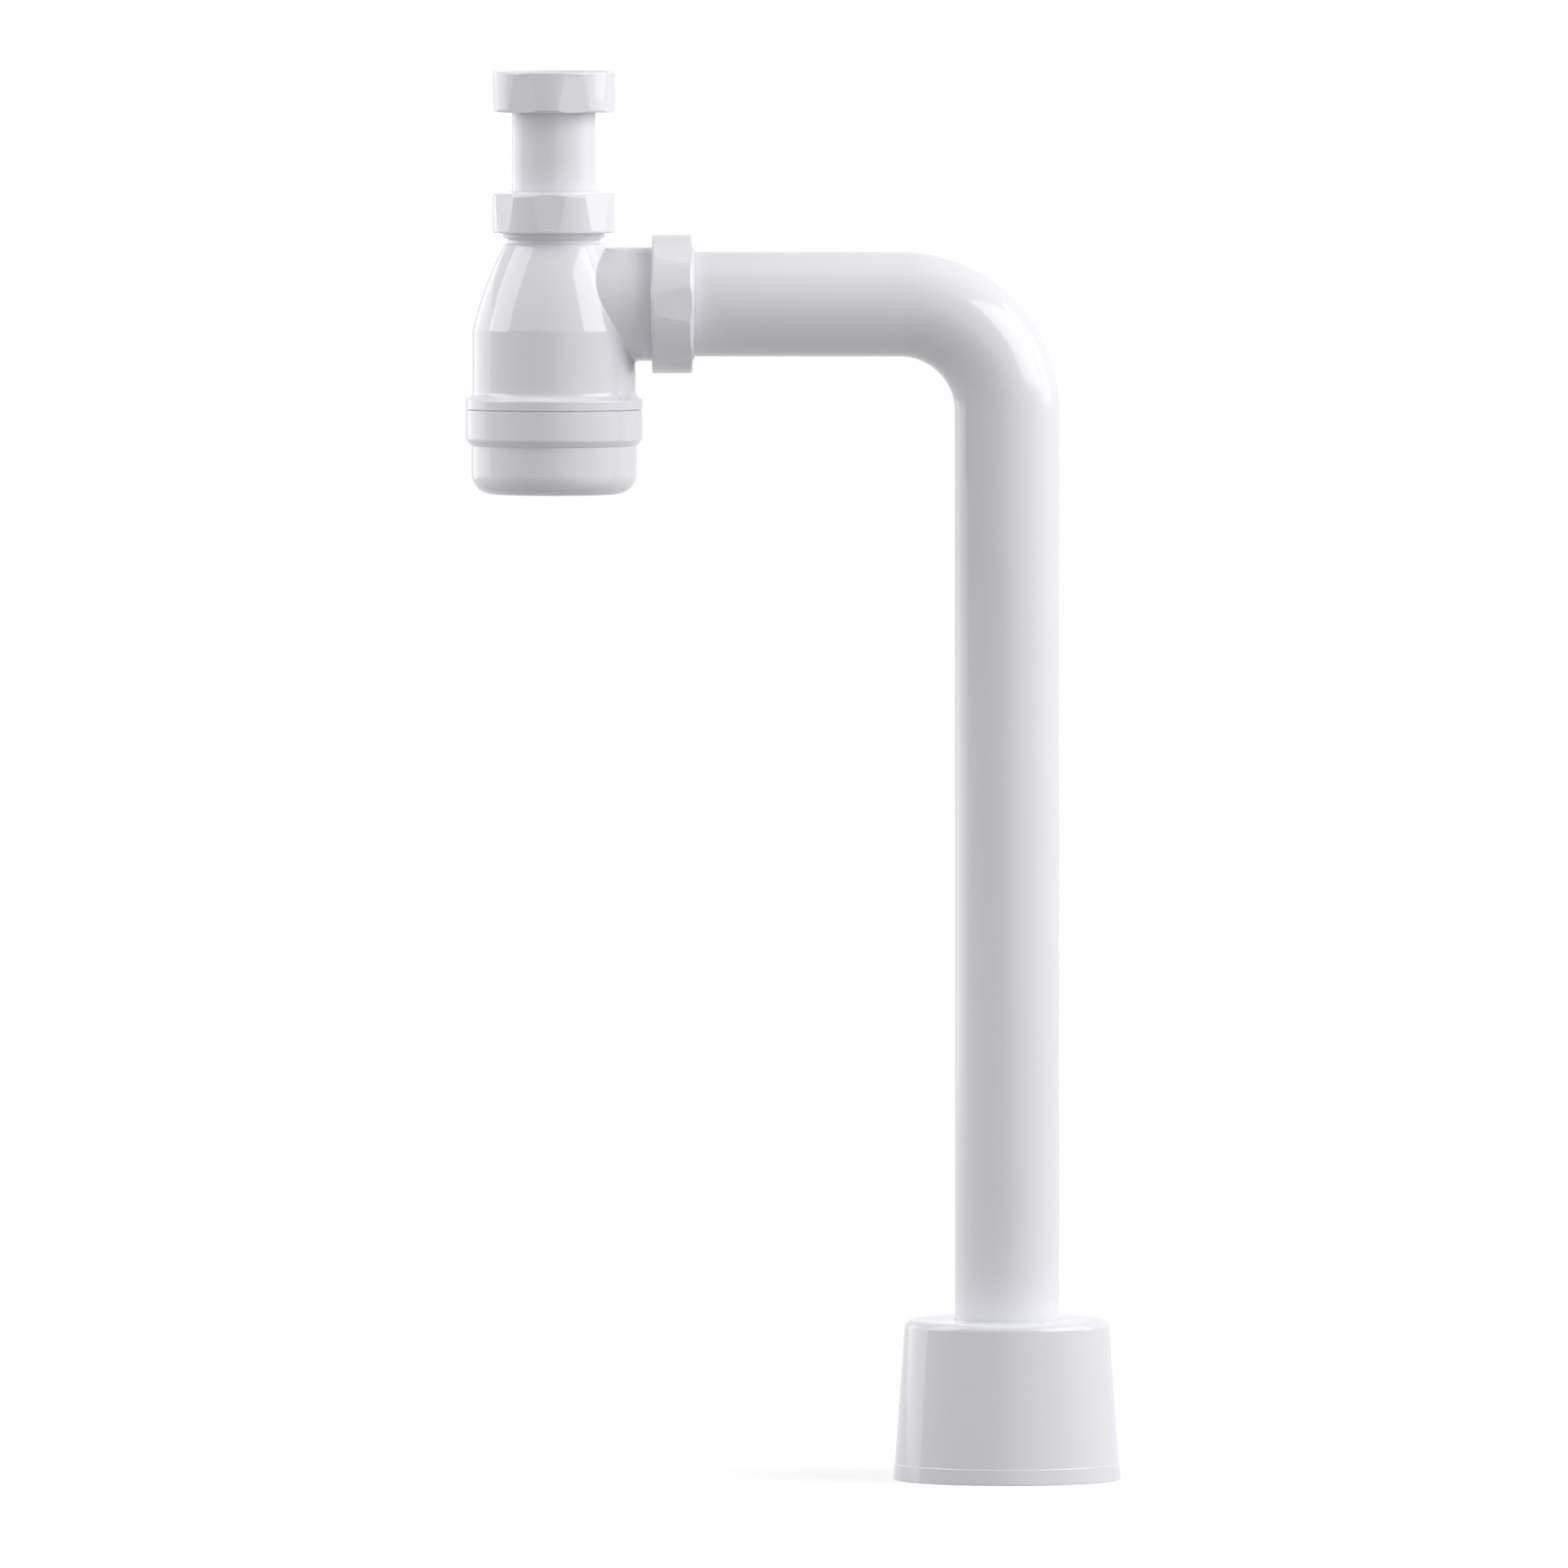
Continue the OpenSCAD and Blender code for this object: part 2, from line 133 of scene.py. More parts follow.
@dataclass(frozen=True)
class Finish:
    """A plastic or rubber surface with soft mottling, a fine skin and broad waves, sizes in millimetres."""

    name: str
    colour: str
    second_colour: str
    roughness: tuple[float, float]
    ior: float
    mottle_mm: float
    grain_mm: float
    grain_depth_mm: float
    wave_mm: float
    wave_depth_mm: float
    sheen: float = 0.0

    def material(self) -> bpy.types.Material:
        """Make the finish's material, or find it if a piece has it already."""
        made = bpy.data.materials.get(self.name)
        if made:
            return made
        made = bpy.data.materials.new(self.name)
        made.use_nodes = True
        tree = made.node_tree
        tree.nodes.clear()
        place = add_node(tree, "ShaderNodeTexCoord").outputs["Object"]
        mottle = self.noise(tree, place, self.mottle_mm, detail=3.0)
        grain = self.noise(tree, place, self.grain_mm, detail=2.0)
        wave = self.noise(tree, place, self.wave_mm, detail=1.0)
        tint = add_node(tree, "ShaderNodeMix", {"data_type": "RGBA"})
        tint.inputs[6].default_value = linear(self.colour)
        tint.inputs[7].default_value = linear(self.second_colour)
        tree.links.new(mottle, tint.inputs[0])
        gloss = add_node(
            tree, "ShaderNodeMapRange",
            {"From Min": 0.3, "From Max": 0.7, "To Min": self.roughness[0], "To Max": self.roughness[1]},
            {"Value": mottle},
        )
        broad = add_node(
            tree, "ShaderNodeBump", {"Strength": 1.0, "Distance": self.wave_depth_mm * MM}, {"Height": wave}
        )
        skin = add_node(
            tree, "ShaderNodeBump", {"Strength": 1.0, "Distance": self.grain_depth_mm * MM},
            {"Height": grain, "Normal": broad.outputs["Normal"]},
        )
        shader = add_node(
            tree, "ShaderNodeBsdfPrincipled",
            {"IOR": self.ior, "Sheen Weight": self.sheen},
            {
                "Base Color": tint.outputs[2],
                "Roughness": gloss.outputs["Result"],
                "Normal": skin.outputs["Normal"],
            },
        )
        add_node(tree, "ShaderNodeOutputMaterial", None, {"Surface": shader.outputs["BSDF"]})
        return made

    @staticmethod
    def noise(
        tree: bpy.types.NodeTree, place: bpy.types.NodeSocket, size_mm: float, detail: float
    ) -> bpy.types.NodeSocket:
        """Add a noise whose patches are about the given size.

        Args:
            tree: Node tree that gets the noise.
            place: Socket that gives the place on the piece, in metres.
            size_mm: Size of a patch, in millimetres.
            detail: Number of finer layers.

        Returns:
            The noise's value, from 0 to 1.
        """
        texture = add_node(
            tree, "ShaderNodeTexNoise", {"Scale": 1 / (size_mm * MM), "Detail": detail}, {"Vector": place}
        )
        return texture.outputs["Fac"]


# Polypropylene from a polished mould: bright and even, with highlights that waver a little over faint sink marks
MOULDED_POLYPROPYLENE = Finish(
    name="polypropylene_moulded", colour="EFEFF4", second_colour="EBEBF1", roughness=(0.05, 0.08), ior=1.49,
    mottle_mm=35, grain_mm=1.6, grain_depth_mm=0.003, wave_mm=16, wave_depth_mm=0.05,
)
# Polypropylene drawn through a die and bent hot: a shade softer in its gloss, with longer waves
EXTRUDED_POLYPROPYLENE = Finish(
    name="polypropylene_extruded", colour="EFEFF4", second_colour="EAEAF0", roughness=(0.12, 0.18), ior=1.49,
    mottle_mm=60, grain_mm=1.2, grain_depth_mm=0.004, wave_mm=30, wave_depth_mm=0.08,
)
# Low-density polyethylene ring stamped from sheet: waxy and dull, slightly yellow beside the white
STAMPED_POLYETHYLENE = Finish(
    name="polyethylene_stamped", colour="DEDFDC", second_colour="D6D8D3", roughness=(0.42, 0.52), ior=1.51,
    mottle_mm=9, grain_mm=0.9, grain_depth_mm=0.006, wave_mm=8, wave_depth_mm=0.03,
)
# Nitrile rubber from a matt mould: near black, with a fine powdery grain
MOULDED_RUBBER = Finish(
    name="nitrile_rubber_moulded", colour="26262A", second_colour="303034", roughness=(0.55, 0.68), ior=1.52,
    mottle_mm=6, grain_mm=0.5, grain_depth_mm=0.01, wave_mm=7, wave_depth_mm=0.03, sheen=0.15,
)


# Mesh making, in millimetres


class Outline:
    """A profile in the XZ plane that is drawn point by point and then turned about the Z axis."""

    def __init__(self, r: float, z: float, soften: float = 0.0) -> None:
        """Start the profile.

        Args:
            r: Distance of the first point from the axis.
            z: Height of the first point.
            soften: How far the first corner is cut back where it is rounded.
        """
        self.mesh: BMesh = bmesh.new()
        self.first = self.mesh.verts.new((r, 0.0, z))
        self.last = self.first
        self.corners: list[tuple[bmesh.types.BMVert, float]] = []
        self.mark(soften)

    def mark(self, soften: float) -> None:
        """Note the last point as a corner to be rounded, if soften is above zero."""
        if soften > 0:
            self.corners.append((self.last, soften))

    def to(self, r: float, z: float, soften: float = 0.0) -> "Outline":
        """Draw a straight line.

        Args:
            r: Distance of the line's end from the axis.
            z: Height of the line's end.
            soften: How far the corner at its end is cut back where it is rounded.

        Returns:
            The outline itself, so that calls can be chained.
        """
        self.last = bmesh.ops.extrude_vert_indiv(self.mesh, verts=[self.last])["verts"][0]
        self.last.co = (r, 0.0, z)
        self.mark(soften)
        return self

    def arc(self, centre: Point, degrees: float, steps: int = 8) -> "Outline":
        """Draw an arc from the last point.

        Args:
            centre: The arc's centre, as distance from the axis and height.
            degrees: The angle turned, anticlockwise as drawn with the axis on the left.
            steps: Number of straight pieces.

        Returns:
            The outline itself.
        """
        turned = bmesh.ops.spin(
            self.mesh, geom=[self.last], cent=(centre[0], 0.0, centre[1]), axis=(0.0, -1.0, 0.0),
            dvec=(0.0, 0.0, 0.0), angle=math.radians(degrees), steps=steps,
            use_merge=False, use_normal_flip=False, use_duplicate=False,
        )
        self.last = next(v for v in turned["geom_last"] if isinstance(v, bmesh.types.BMVert))
        return self

    def soften_corners(self, segments: int = 4) -> None:
        """Round the corners that were marked while the profile was drawn."""
        for corner, amount in self.corners:
            bmesh.ops.bevel(
                self.mesh, geom=[corner], offset=amount, offset_type="OFFSET", segments=segments,
                profile=0.5, affect="VERTICES", material=-1,
            )
        self.corners.clear()

    def turned(self, steps: int, closed: bool = True) -> BMesh:
        """Turn the profile a full turn about the Z axis.

        Args:
            steps: Number of columns in the turn.
            closed: Whether the last point is joined to the first. It isn't where both lie on the axis.

        Returns:
            The closed surface.
        """
        if closed:
            self.mesh.edges.new((self.last, self.first))
        self.soften_corners()
        bmesh.ops.spin(
            self.mesh, geom=self.mesh.verts[:] + self.mesh.edges[:], cent=(0.0, 0.0, 0.0), axis=(0.0, 0.0, 1.0),
            dvec=(0.0, 0.0, 0.0), angle=math.tau, steps=steps,
            use_merge=True, use_normal_flip=False, use_duplicate=False,
        )
        return closed_up(self.mesh)


def closed_up(mesh: BMesh) -> BMesh:
    """Merge doubled points and turn every face outwards.

    Args:
        mesh: A surface whose seams and poles may be doubled.

    Returns:
        The same mesh.
    """
    bmesh.ops.remove_doubles(mesh, verts=mesh.verts, dist=0.0005)
    bmesh.ops.recalc_face_normals(mesh, faces=mesh.faces)
    return mesh


def arc_centre(start: Point, end: Point, radius: float) -> Point:
    """Find the centre of an arc on the left of the way from one point to another.

    Args:
        start: First point.
        end: Second point.
        radius: The arc's radius.

    Returns:
        The arc's centre.
    """
    way = Vector(end) - Vector(start)
    half = way.length / 2
    left = Vector((-way.y, way.x)) / (2 * half)
    centre = (Vector(start) + Vector(end)) / 2 + math.sqrt(radius ** 2 - half ** 2) * left
    return centre.x, centre.y


def heading(centre: Point, point: Point) -> float:
    """Give the direction of a point seen from a centre, in degrees."""
    return math.degrees(math.atan2(point[1] - centre[1], point[0] - centre[0]))


def turn_over(mesh: BMesh, height: float) -> BMesh:
    """Turn a piece upside down about the X axis, so that what lay at z = 0 comes to the given height."""
    bmesh.ops.rotate(mesh, verts=mesh.verts, cent=(0.0, 0.0, 0.0), matrix=Matrix.Rotation(math.pi, 3, "X"))
    bmesh.ops.translate(mesh, verts=mesh.verts, vec=(0.0, 0.0, height))
    return mesh


def lay_along_x(mesh: BMesh, height: float) -> BMesh:
    """Lay a piece that is made about +Z along +X, with its axis at the given height."""
    bmesh.ops.rotate(mesh, verts=mesh.verts, cent=(0.0, 0.0, 0.0), matrix=Matrix.Rotation(math.pi / 2, 3, "Y"))
    bmesh.ops.translate(mesh, verts=mesh.verts, vec=(0.0, 0.0, height))
    return mesh


def join(mesh: BMesh, *others: BMesh) -> BMesh:
    """Add other surfaces to a mesh and free them.

    Args:
        mesh: The mesh that takes them in.
        others: The surfaces to add.

    Returns:
        The first mesh.
    """
    for other in others:
        carrier = bpy.data.meshes.new("carrier")
        other.to_mesh(carrier)
        other.free()
        mesh.from_mesh(carrier)
        bpy.data.meshes.remove(carrier)
    return mesh


def carve(base: BMesh, steps: list[tuple[str, BMesh]]) -> BMesh:
    """Unite closed meshes with a base, or cut them from it, in order.

    Args:
        base: The closed mesh to start from.
        steps: Pairs of "UNION" or "DIFFERENCE" and the closed mesh that it uses.

    Returns:
        The resulting mesh. All the meshes that went in are freed.
    """
    helpers = []
    for mesh in [base] + [tool for _, tool in steps]:
        data = bpy.data.meshes.new("carver")
        mesh.to_mesh(data)
        mesh.free()
        helper = bpy.data.objects.new("carver", data)
        bpy.context.scene.collection.objects.link(helper)
        helpers.append(helper)
    for (operation, _), helper in zip(steps, helpers[1:]):
        cut = helpers[0].modifiers.new(operation.lower(), "BOOLEAN")
        cut.operation = operation
        cut.solver = "EXACT"
        cut.object = helper
    graph = bpy.context.evaluated_depsgraph_get()
    result = bmesh.new()
    result.from_mesh(helpers[0].evaluated_get(graph).data)
    for helper in helpers:
        data = helper.data
        bpy.data.objects.remove(helper)
        bpy.data.meshes.remove(data)
    bmesh.ops.remove_doubles(result, verts=result.verts, dist=0.0005)
    bmesh.ops.dissolve_degenerate(result, edges=result.edges, dist=0.0005)
    return result


@dataclass(frozen=True)
class Thread:
    """A moulded screw thread with sloping flanks, right-handed, sizes in millimetres."""

    pitch: float
    depth: float
    root_w: float
    crest_w: float
    sunk: float = 0.15
    run_out: float = 0.2
    steps_a_turn: int = 96

    def ridge(self, root_r: float, outwards: bool, start: float, end: float) -> BMesh:
        """Wind one helical ridge about the Z axis, fading out at both ends.

        An outward ridge and an inward one made with the same ends mesh, half a pitch apart.

        Args:
            root_r: Radius of the wall that carries the ridge.
            outwards: Whether the ridge stands out from a core, or in from a bore.
            start: Height where the ridge starts.
            end: Height where it stops.

        Returns:
            The closed ridge, its root sunk in the wall.
        """
        out = 1.0 if outwards else -1.0
        first = start if outwards else start + self.pitch / 2
        turns = (end - first) / self.pitch
        steps = round(turns * self.steps_a_turn)
        mesh = bmesh.new()
        section = [
            (root_r - out * self.sunk, -self.root_w / 2),
            (root_r - out * self.sunk, self.root_w / 2),
            (root_r + out * self.depth, self.crest_w / 2),
            (root_r + out * self.depth, -self.crest_w / 2),
        ]
        corners = [mesh.verts.new((r, 0.0, first + z)) for r, z in section]
        bmesh.ops.contextual_create(mesh, geom=corners)
        bmesh.ops.spin(
            mesh, geom=mesh.verts[:] + mesh.edges[:] + mesh.faces[:], cent=(0.0, 0.0, 0.0), axis=(0.0, 0.0, 1.0),
            dvec=(0.0, 0.0, self.pitch * turns / steps), angle=math.tau * turns, steps=steps,
            use_merge=False, use_normal_flip=False, use_duplicate=False,
        )
        for vert in mesh.verts:
            azimuth = math.atan2(vert.co.y, vert.co.x) / math.tau
            wound = azimuth + round((vert.co.z - first) / self.pitch - azimuth)
            fade = max(0.0, min(1.0, wound / self.run_out, (turns - wound) / self.run_out))
            radius = vert.co.xy.length
            stand = (radius - root_r) * out
            if stand > 0:
                wanted = root_r + out * (stand * fade - self.sunk * (1 - fade) * 0.6)
                vert.co.xy *= wanted / radius
        return closed_up(mesh)


def finished(
    mesh: BMesh, name: str, body: str, node: str, finish: Finish
) -> bpy.types.Object:
    """Make a finished piece of a mesh, hang it on its CAD body's empty and hide the CAD node that it stands for.

    Args:
        mesh: The piece's surface in millimetres, in the frame's own axes.
        name: Name of the piece.
        body: The CAD body that it moves with.
        node: The CAD node that it stands for.
        finish: What it is made of and how.

    Returns:
        The new object.
    """
    bmesh.ops.scale(mesh, verts=mesh.verts, vec=(MM, MM, MM))
    for face in mesh.faces:
        face.smooth = True
    for edge in mesh.edges:
        edge.smooth = not (edge.is_manifold and edge.calc_face_angle(0.0) > SHARP)
    data = bpy.data.meshes.new(name)
    mesh.to_mesh(data)
    mesh.free()
    data.materials.append(finish.material())
    piece = bpy.data.objects.new(name, data)
    bpy.context.scene.collection.objects.link(piece)
    weighted = piece.modifiers.new("even_shading", "WEIGHTED_NORMAL")
    weighted.keep_sharp = True
    weighted.weight = 50
    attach(piece, body)
    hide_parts(node)
    LOG.info("%s: %d faces, on %s", name, len(data.polygons), body)
    return piece


# Parts that several sub-assemblies share


@dataclass(frozen=True)
class UnionNut:
    """Union nut with seven flats, made with its small end at z = 0 and its threaded rim up, in millimetres."""

    outer_r: float
    hole_r: float
    height: float
    bore_r: float
    relief_r: float
    relief_top: float
    lip_h: float
    turn: float
    lip_w: float = 0.9
    end_wall: float = 2.5
    rim_h: float = 1.2
    flats: int = 7
    flat_depth: float = 0.3
    flat_depth_end: float = 0.9
    end_round: float = 1.3
    lead_in: float = 0.6
    crease: float = 0.22
    flat_columns: int = 6
    strip_columns: int = 5

    @property
    def columns(self) -> int:
        """Number of columns in a full turn: each half flat, one for its crease, and each half strip."""
        return 2 * self.flats * (self.flat_columns + 1 + self.strip_columns)

    @property
    def flat_run(self) -> float:
        """Height at which the flats stop below the rim."""
        return self.height - self.rim_h

    def flat_distance(self, z: float) -> float:
        """Give the distance of the flats from the axis at a height."""
        share = min(1.0, max(0.0, z / self.flat_run))
        return self.outer_r - self.flat_depth_end + (self.flat_depth_end - self.flat_depth) * share

    def place_column(self, number: float, z: float) -> float:
        """Find where a column goes, so that two of them run along the edges of each flat.

        Args:
            number: Position within half a sector, counted in columns from the flat's middle.
            z: Height of the point.

        Returns:
            Its angle from the flat's middle, in radians.
        """
        half_sector = math.pi / self.flats
        edge = math.acos(self.flat_distance(max(z, self.end_round)) / self.outer_r)
        soft = self.crease / self.outer_r
        if number <= self.flat_columns:
            return number / self.flat_columns * (edge - soft)
        rest = (number - self.flat_columns - 1) / self.strip_columns
        return edge + soft + rest * (half_sector - edge - soft)

    def press_flats(self, mesh: BMesh) -> None:
        """Move the columns to the edges of the flats and press the flats in."""
        sector = math.tau / self.flats
        half_columns = self.flat_columns + 1 + self.strip_columns
        for vert in mesh.verts:
            radius = vert.co.xy.length
            angle = math.atan2(vert.co.y, vert.co.x)
            middle = round(angle / sector) * sector
            number = abs(angle - middle) / (sector / 2) * half_columns
            away = math.copysign(self.place_column(round(number), vert.co.z), angle - middle)
            if vert.co.z < self.flat_run + 0.001:
                radius = min(radius, self.flat_distance(vert.co.z) / math.cos(away))
            final = middle + away + math.radians(self.turn)
            vert.co.xy = (radius * math.cos(final), radius * math.sin(final))

    def mesh(self) -> BMesh:
        """Build the nut without its thread."""
        line = Outline(self.hole_r, -self.lip_h, soften=0.2)
        if self.lip_h > 0:
            line.to(self.hole_r + self.lip_w, -self.lip_h, soften=0.3)
            line.to(self.hole_r + self.lip_w, 0.0, soften=0.15)
        line.to(self.outer_r - self.end_round, 0.0)
        line.arc((self.outer_r - self.end_round, self.end_round), 90, steps=7)
        for share in (0.3, 0.65):
            line.to(self.outer_r, self.end_round + share * (self.flat_run - self.end_round))
        line.to(self.outer_r, self.flat_run)
        line.to(self.outer_r, self.flat_run + 0.03)
        line.to(self.outer_r, self.height, soften=self.rim_h / 2)
        line.to(self.bore_r + self.lead_in, self.height, soften=0.15)
        line.to(self.bore_r, self.height - self.lead_in)
        line.to(self.bore_r, self.relief_top)
        line.to(self.relief_r, self.relief_top - 0.5)
        line.to(self.relief_r, self.end_wall, soften=0.3)
        line.to(self.hole_r, self.end_wall, soften=0.15)
        nut = line.turned(self.columns)
        self.press_flats(nut)
        return nut


@dataclass(frozen=True)
class TaperSeal:
    """Tapered rubber seal, made with its head from z = 0 up and its taper down, in millimetres."""

    head_r: float
    grip_r: float
    mouth_r: float
    head_h: float
    taper_h: float
    slope: float
    bead: float = 0.25

    def mesh(self) -> BMesh:
        """Build the seal, with a soft bead round its head."""
        line = Outline(self.grip_r, self.head_h, soften=0.3)
        line.to(self.head_r, self.head_h, soften=0.35)
        line.to(self.head_r, 0.0, soften=0.2)
        line.to(self.mouth_r, 0.0, soften=0.15)
        line.to(self.mouth_r - self.slope * self.taper_h, -self.taper_h, soften=0.05)
        line.to(self.grip_r, -self.taper_h, soften=0.05)
        return line.turned(160)


def slip_ring(outer_r: float, inner_r: float, height: float) -> BMesh:
    """Build a flat ring with its edges broken, from z = 0 up.

    Args:
        outer_r: Outer radius.
        inner_r: Inner radius.
        height: Thickness.

    Returns:
        The ring.
    """
    line = Outline(inner_r, 0.0, soften=0.2)
    line.to(outer_r, 0.0, soften=0.25)
    line.to(outer_r, height, soften=0.25)
    line.to(inner_r, height, soften=0.2)
    return line.turned(160)


def neck_mouth() -> float:
    """Give the height of the neck's mouth, a seal's head below the slip ring."""
    return span("neck_slip_ring", Z)[0] - SEAL_HEAD


SEAL_HEAD = 2.4  # thickness of a tapered seal's head
# The threads of the two sizes of union nut and of the cup
NUT_THREAD = Thread(pitch=2.309, depth=1.35, root_w=1.3, crest_w=0.5)
CUP_THREAD = Thread(pitch=4.0, depth=0.9, root_w=1.9, crest_w=0.9)


# Sub-assemblies, from the inlet down


@dataclass
class Inlet:
    """Union nut for the sink waste, its flat gasket and the flanged tube that dips into the cup."""

    tube_r: float = 16.0
    tube_wall: float = 1.8
    flange_h: float = 2.0
    flange_round: float = 0.4
    nut_turn: float = 33.0
    thread_room: float = 0.1
    gasket_bead: float = 0.35

    def nut(self) -> bpy.types.Object:
        """Build the inlet nut, thread up, with its thread in sight from above."""
        base, top = span("inlet_nut", Z)
        outer_r = span("inlet_nut", X)[1]
        crest_r = outer_r - 4.0
        bore_r = crest_r + NUT_THREAD.depth + self.thread_room
        shape = UnionNut(
            outer_r=outer_r, hole_r=self.tube_r + 0.35, height=top - base, bore_r=bore_r,
            relief_r=bore_r + 0.1, relief_top=-base + 0.3, lip_h=0.0, turn=self.nut_turn,
        )
        mesh = shape.mesh()
        bmesh.ops.translate(mesh, verts=mesh.verts, vec=(0.0, 0.0, base))
        join(mesh, NUT_THREAD.ridge(bore_r, False, 0.2, top - 0.9))
        return finished(
            mesh, "inlet_union_nut", "inlet_nut", "inlet_nut", MOULDED_POLYPROPYLENE
        )

    def gasket(self) -> bpy.types.Object:
        """Build the flat gasket, with a fine moulded bead on each face."""
        base, top = span("inlet_gasket", Z)
        outer_r = span("inlet_gasket", X)[1]
        inner_r = self.tube_r - self.tube_wall
        middle = (outer_r + inner_r) / 2
        bead = self.gasket_bead
        line = Outline(inner_r, base, soften=0.2)
        line.to(middle - bead, base).to(middle, base + bead / 2, soften=0.12).to(middle + bead, base)
        line.to(outer_r, base, soften=0.25).to(outer_r, top, soften=0.25)
        line.to(middle + bead, top).to(middle, top - bead / 2, soften=0.12).to(middle - bead, top)
        line.to(inner_r, top, soften=0.2)
        return finished(
            line.turned(160), "inlet_flat_gasket", "inlet_tube", "inlet_gasket", MOULDED_RUBBER
        )

    def tube(self) -> bpy.types.Object:
        """Build the flanged inlet tube, cut square and lightly broken at its lower end."""
        foot, top = span("inlet_tube", Z)
        flange_r = span("inlet_tube", X)[1]
        bore_r = self.tube_r - self.tube_wall
        line = Outline(bore_r, top, soften=0.25)
        line.to(flange_r, top, soften=self.flange_round)
        line.to(flange_r, top - self.flange_h, soften=self.flange_round)
        line.to(self.tube_r, top - self.flange_h, soften=0.3)
        line.to(self.tube_r, foot, soften=0.3)
        line.to(bore_r, foot, soften=0.3)
        return finished(
            line.turned(160), "inlet_dip_tube", "inlet_tube", "inlet_tube", EXTRUDED_POLYPROPYLENE
        )

    def build(self) -> list[bpy.types.Object]:
        """Build the sub-assembly's pieces."""
        return [self.nut(), self.gasket(), self.tube()]


@dataclass
class Neck:
    """Union nut, slip ring and tapered seal that hold the tube in the bottle's neck."""

    tube_r: float = 16.0
    bore_gap: float = 0.35
    lip_h: float = 0.7
    nut_turn: float = 8.5
    thread_room: float = 0.1

    def nut(self) -> bpy.types.Object:
        """Build the neck nut, thread down, with a lip round the tube."""
        base, lip_top = span("neck_nut", Z)
        outer_r = span("neck_nut", X)[1]
        mouth = neck_mouth()
        top = lip_top - self.lip_h
        crest_r = outer_r - 4.0
        bore_r = crest_r + NUT_THREAD.depth + self.thread_room
        shape = UnionNut(
            outer_r=outer_r, hole_r=self.tube_r + self.bore_gap, height=top - base, bore_r=bore_r,
            relief_r=crest_r, relief_top=top - mouth, lip_h=self.lip_h, turn=-self.nut_turn,
        )
        mesh = turn_over(shape.mesh(), top)
        join(mesh, NUT_THREAD.ridge(bore_r, False, base + 0.6, mouth - 0.6))
        return finished(mesh, "neck_union_nut", "neck_nut", "neck_nut", MOULDED_POLYPROPYLENE)

    def ring(self) -> bpy.types.Object:
        """Build the slip ring under the nut's end wall."""
        base, top = span("neck_slip_ring", Z)
        outer_r = span("neck_slip_ring", X)[1]
        mesh = slip_ring(outer_r, self.tube_r + 0.1, top - base)
        bmesh.ops.translate(mesh, verts=mesh.verts, vec=(0.0, 0.0, base))
        return finished(mesh, "neck_slip_ring_pe", "neck_ring", "neck_slip_ring", STAMPED_POLYETHYLENE)

    def seal(self) -> bpy.types.Object:
        """Build the tapered seal in the neck's mouth."""
        foot, top = span("neck_seal", Z)
        mouth = neck_mouth()
        shape = TaperSeal(
            head_r=span("neck_seal", X)[1], grip_r=self.tube_r + 0.05, mouth_r=18.85,
            head_h=top - mouth, taper_h=mouth - foot, slope=2.55 / 2.4,
        )
        mesh = shape.mesh()
        bmesh.ops.translate(mesh, verts=mesh.verts, vec=(0.0, 0.0, mouth))
        return finished(mesh, "neck_taper_seal", "bottle", "neck_seal", MOULDED_RUBBER)

    def build(self) -> list[bpy.types.Object]:
        """Build the sub-assembly's pieces."""
        return [self.nut(), self.ring(), self.seal()]


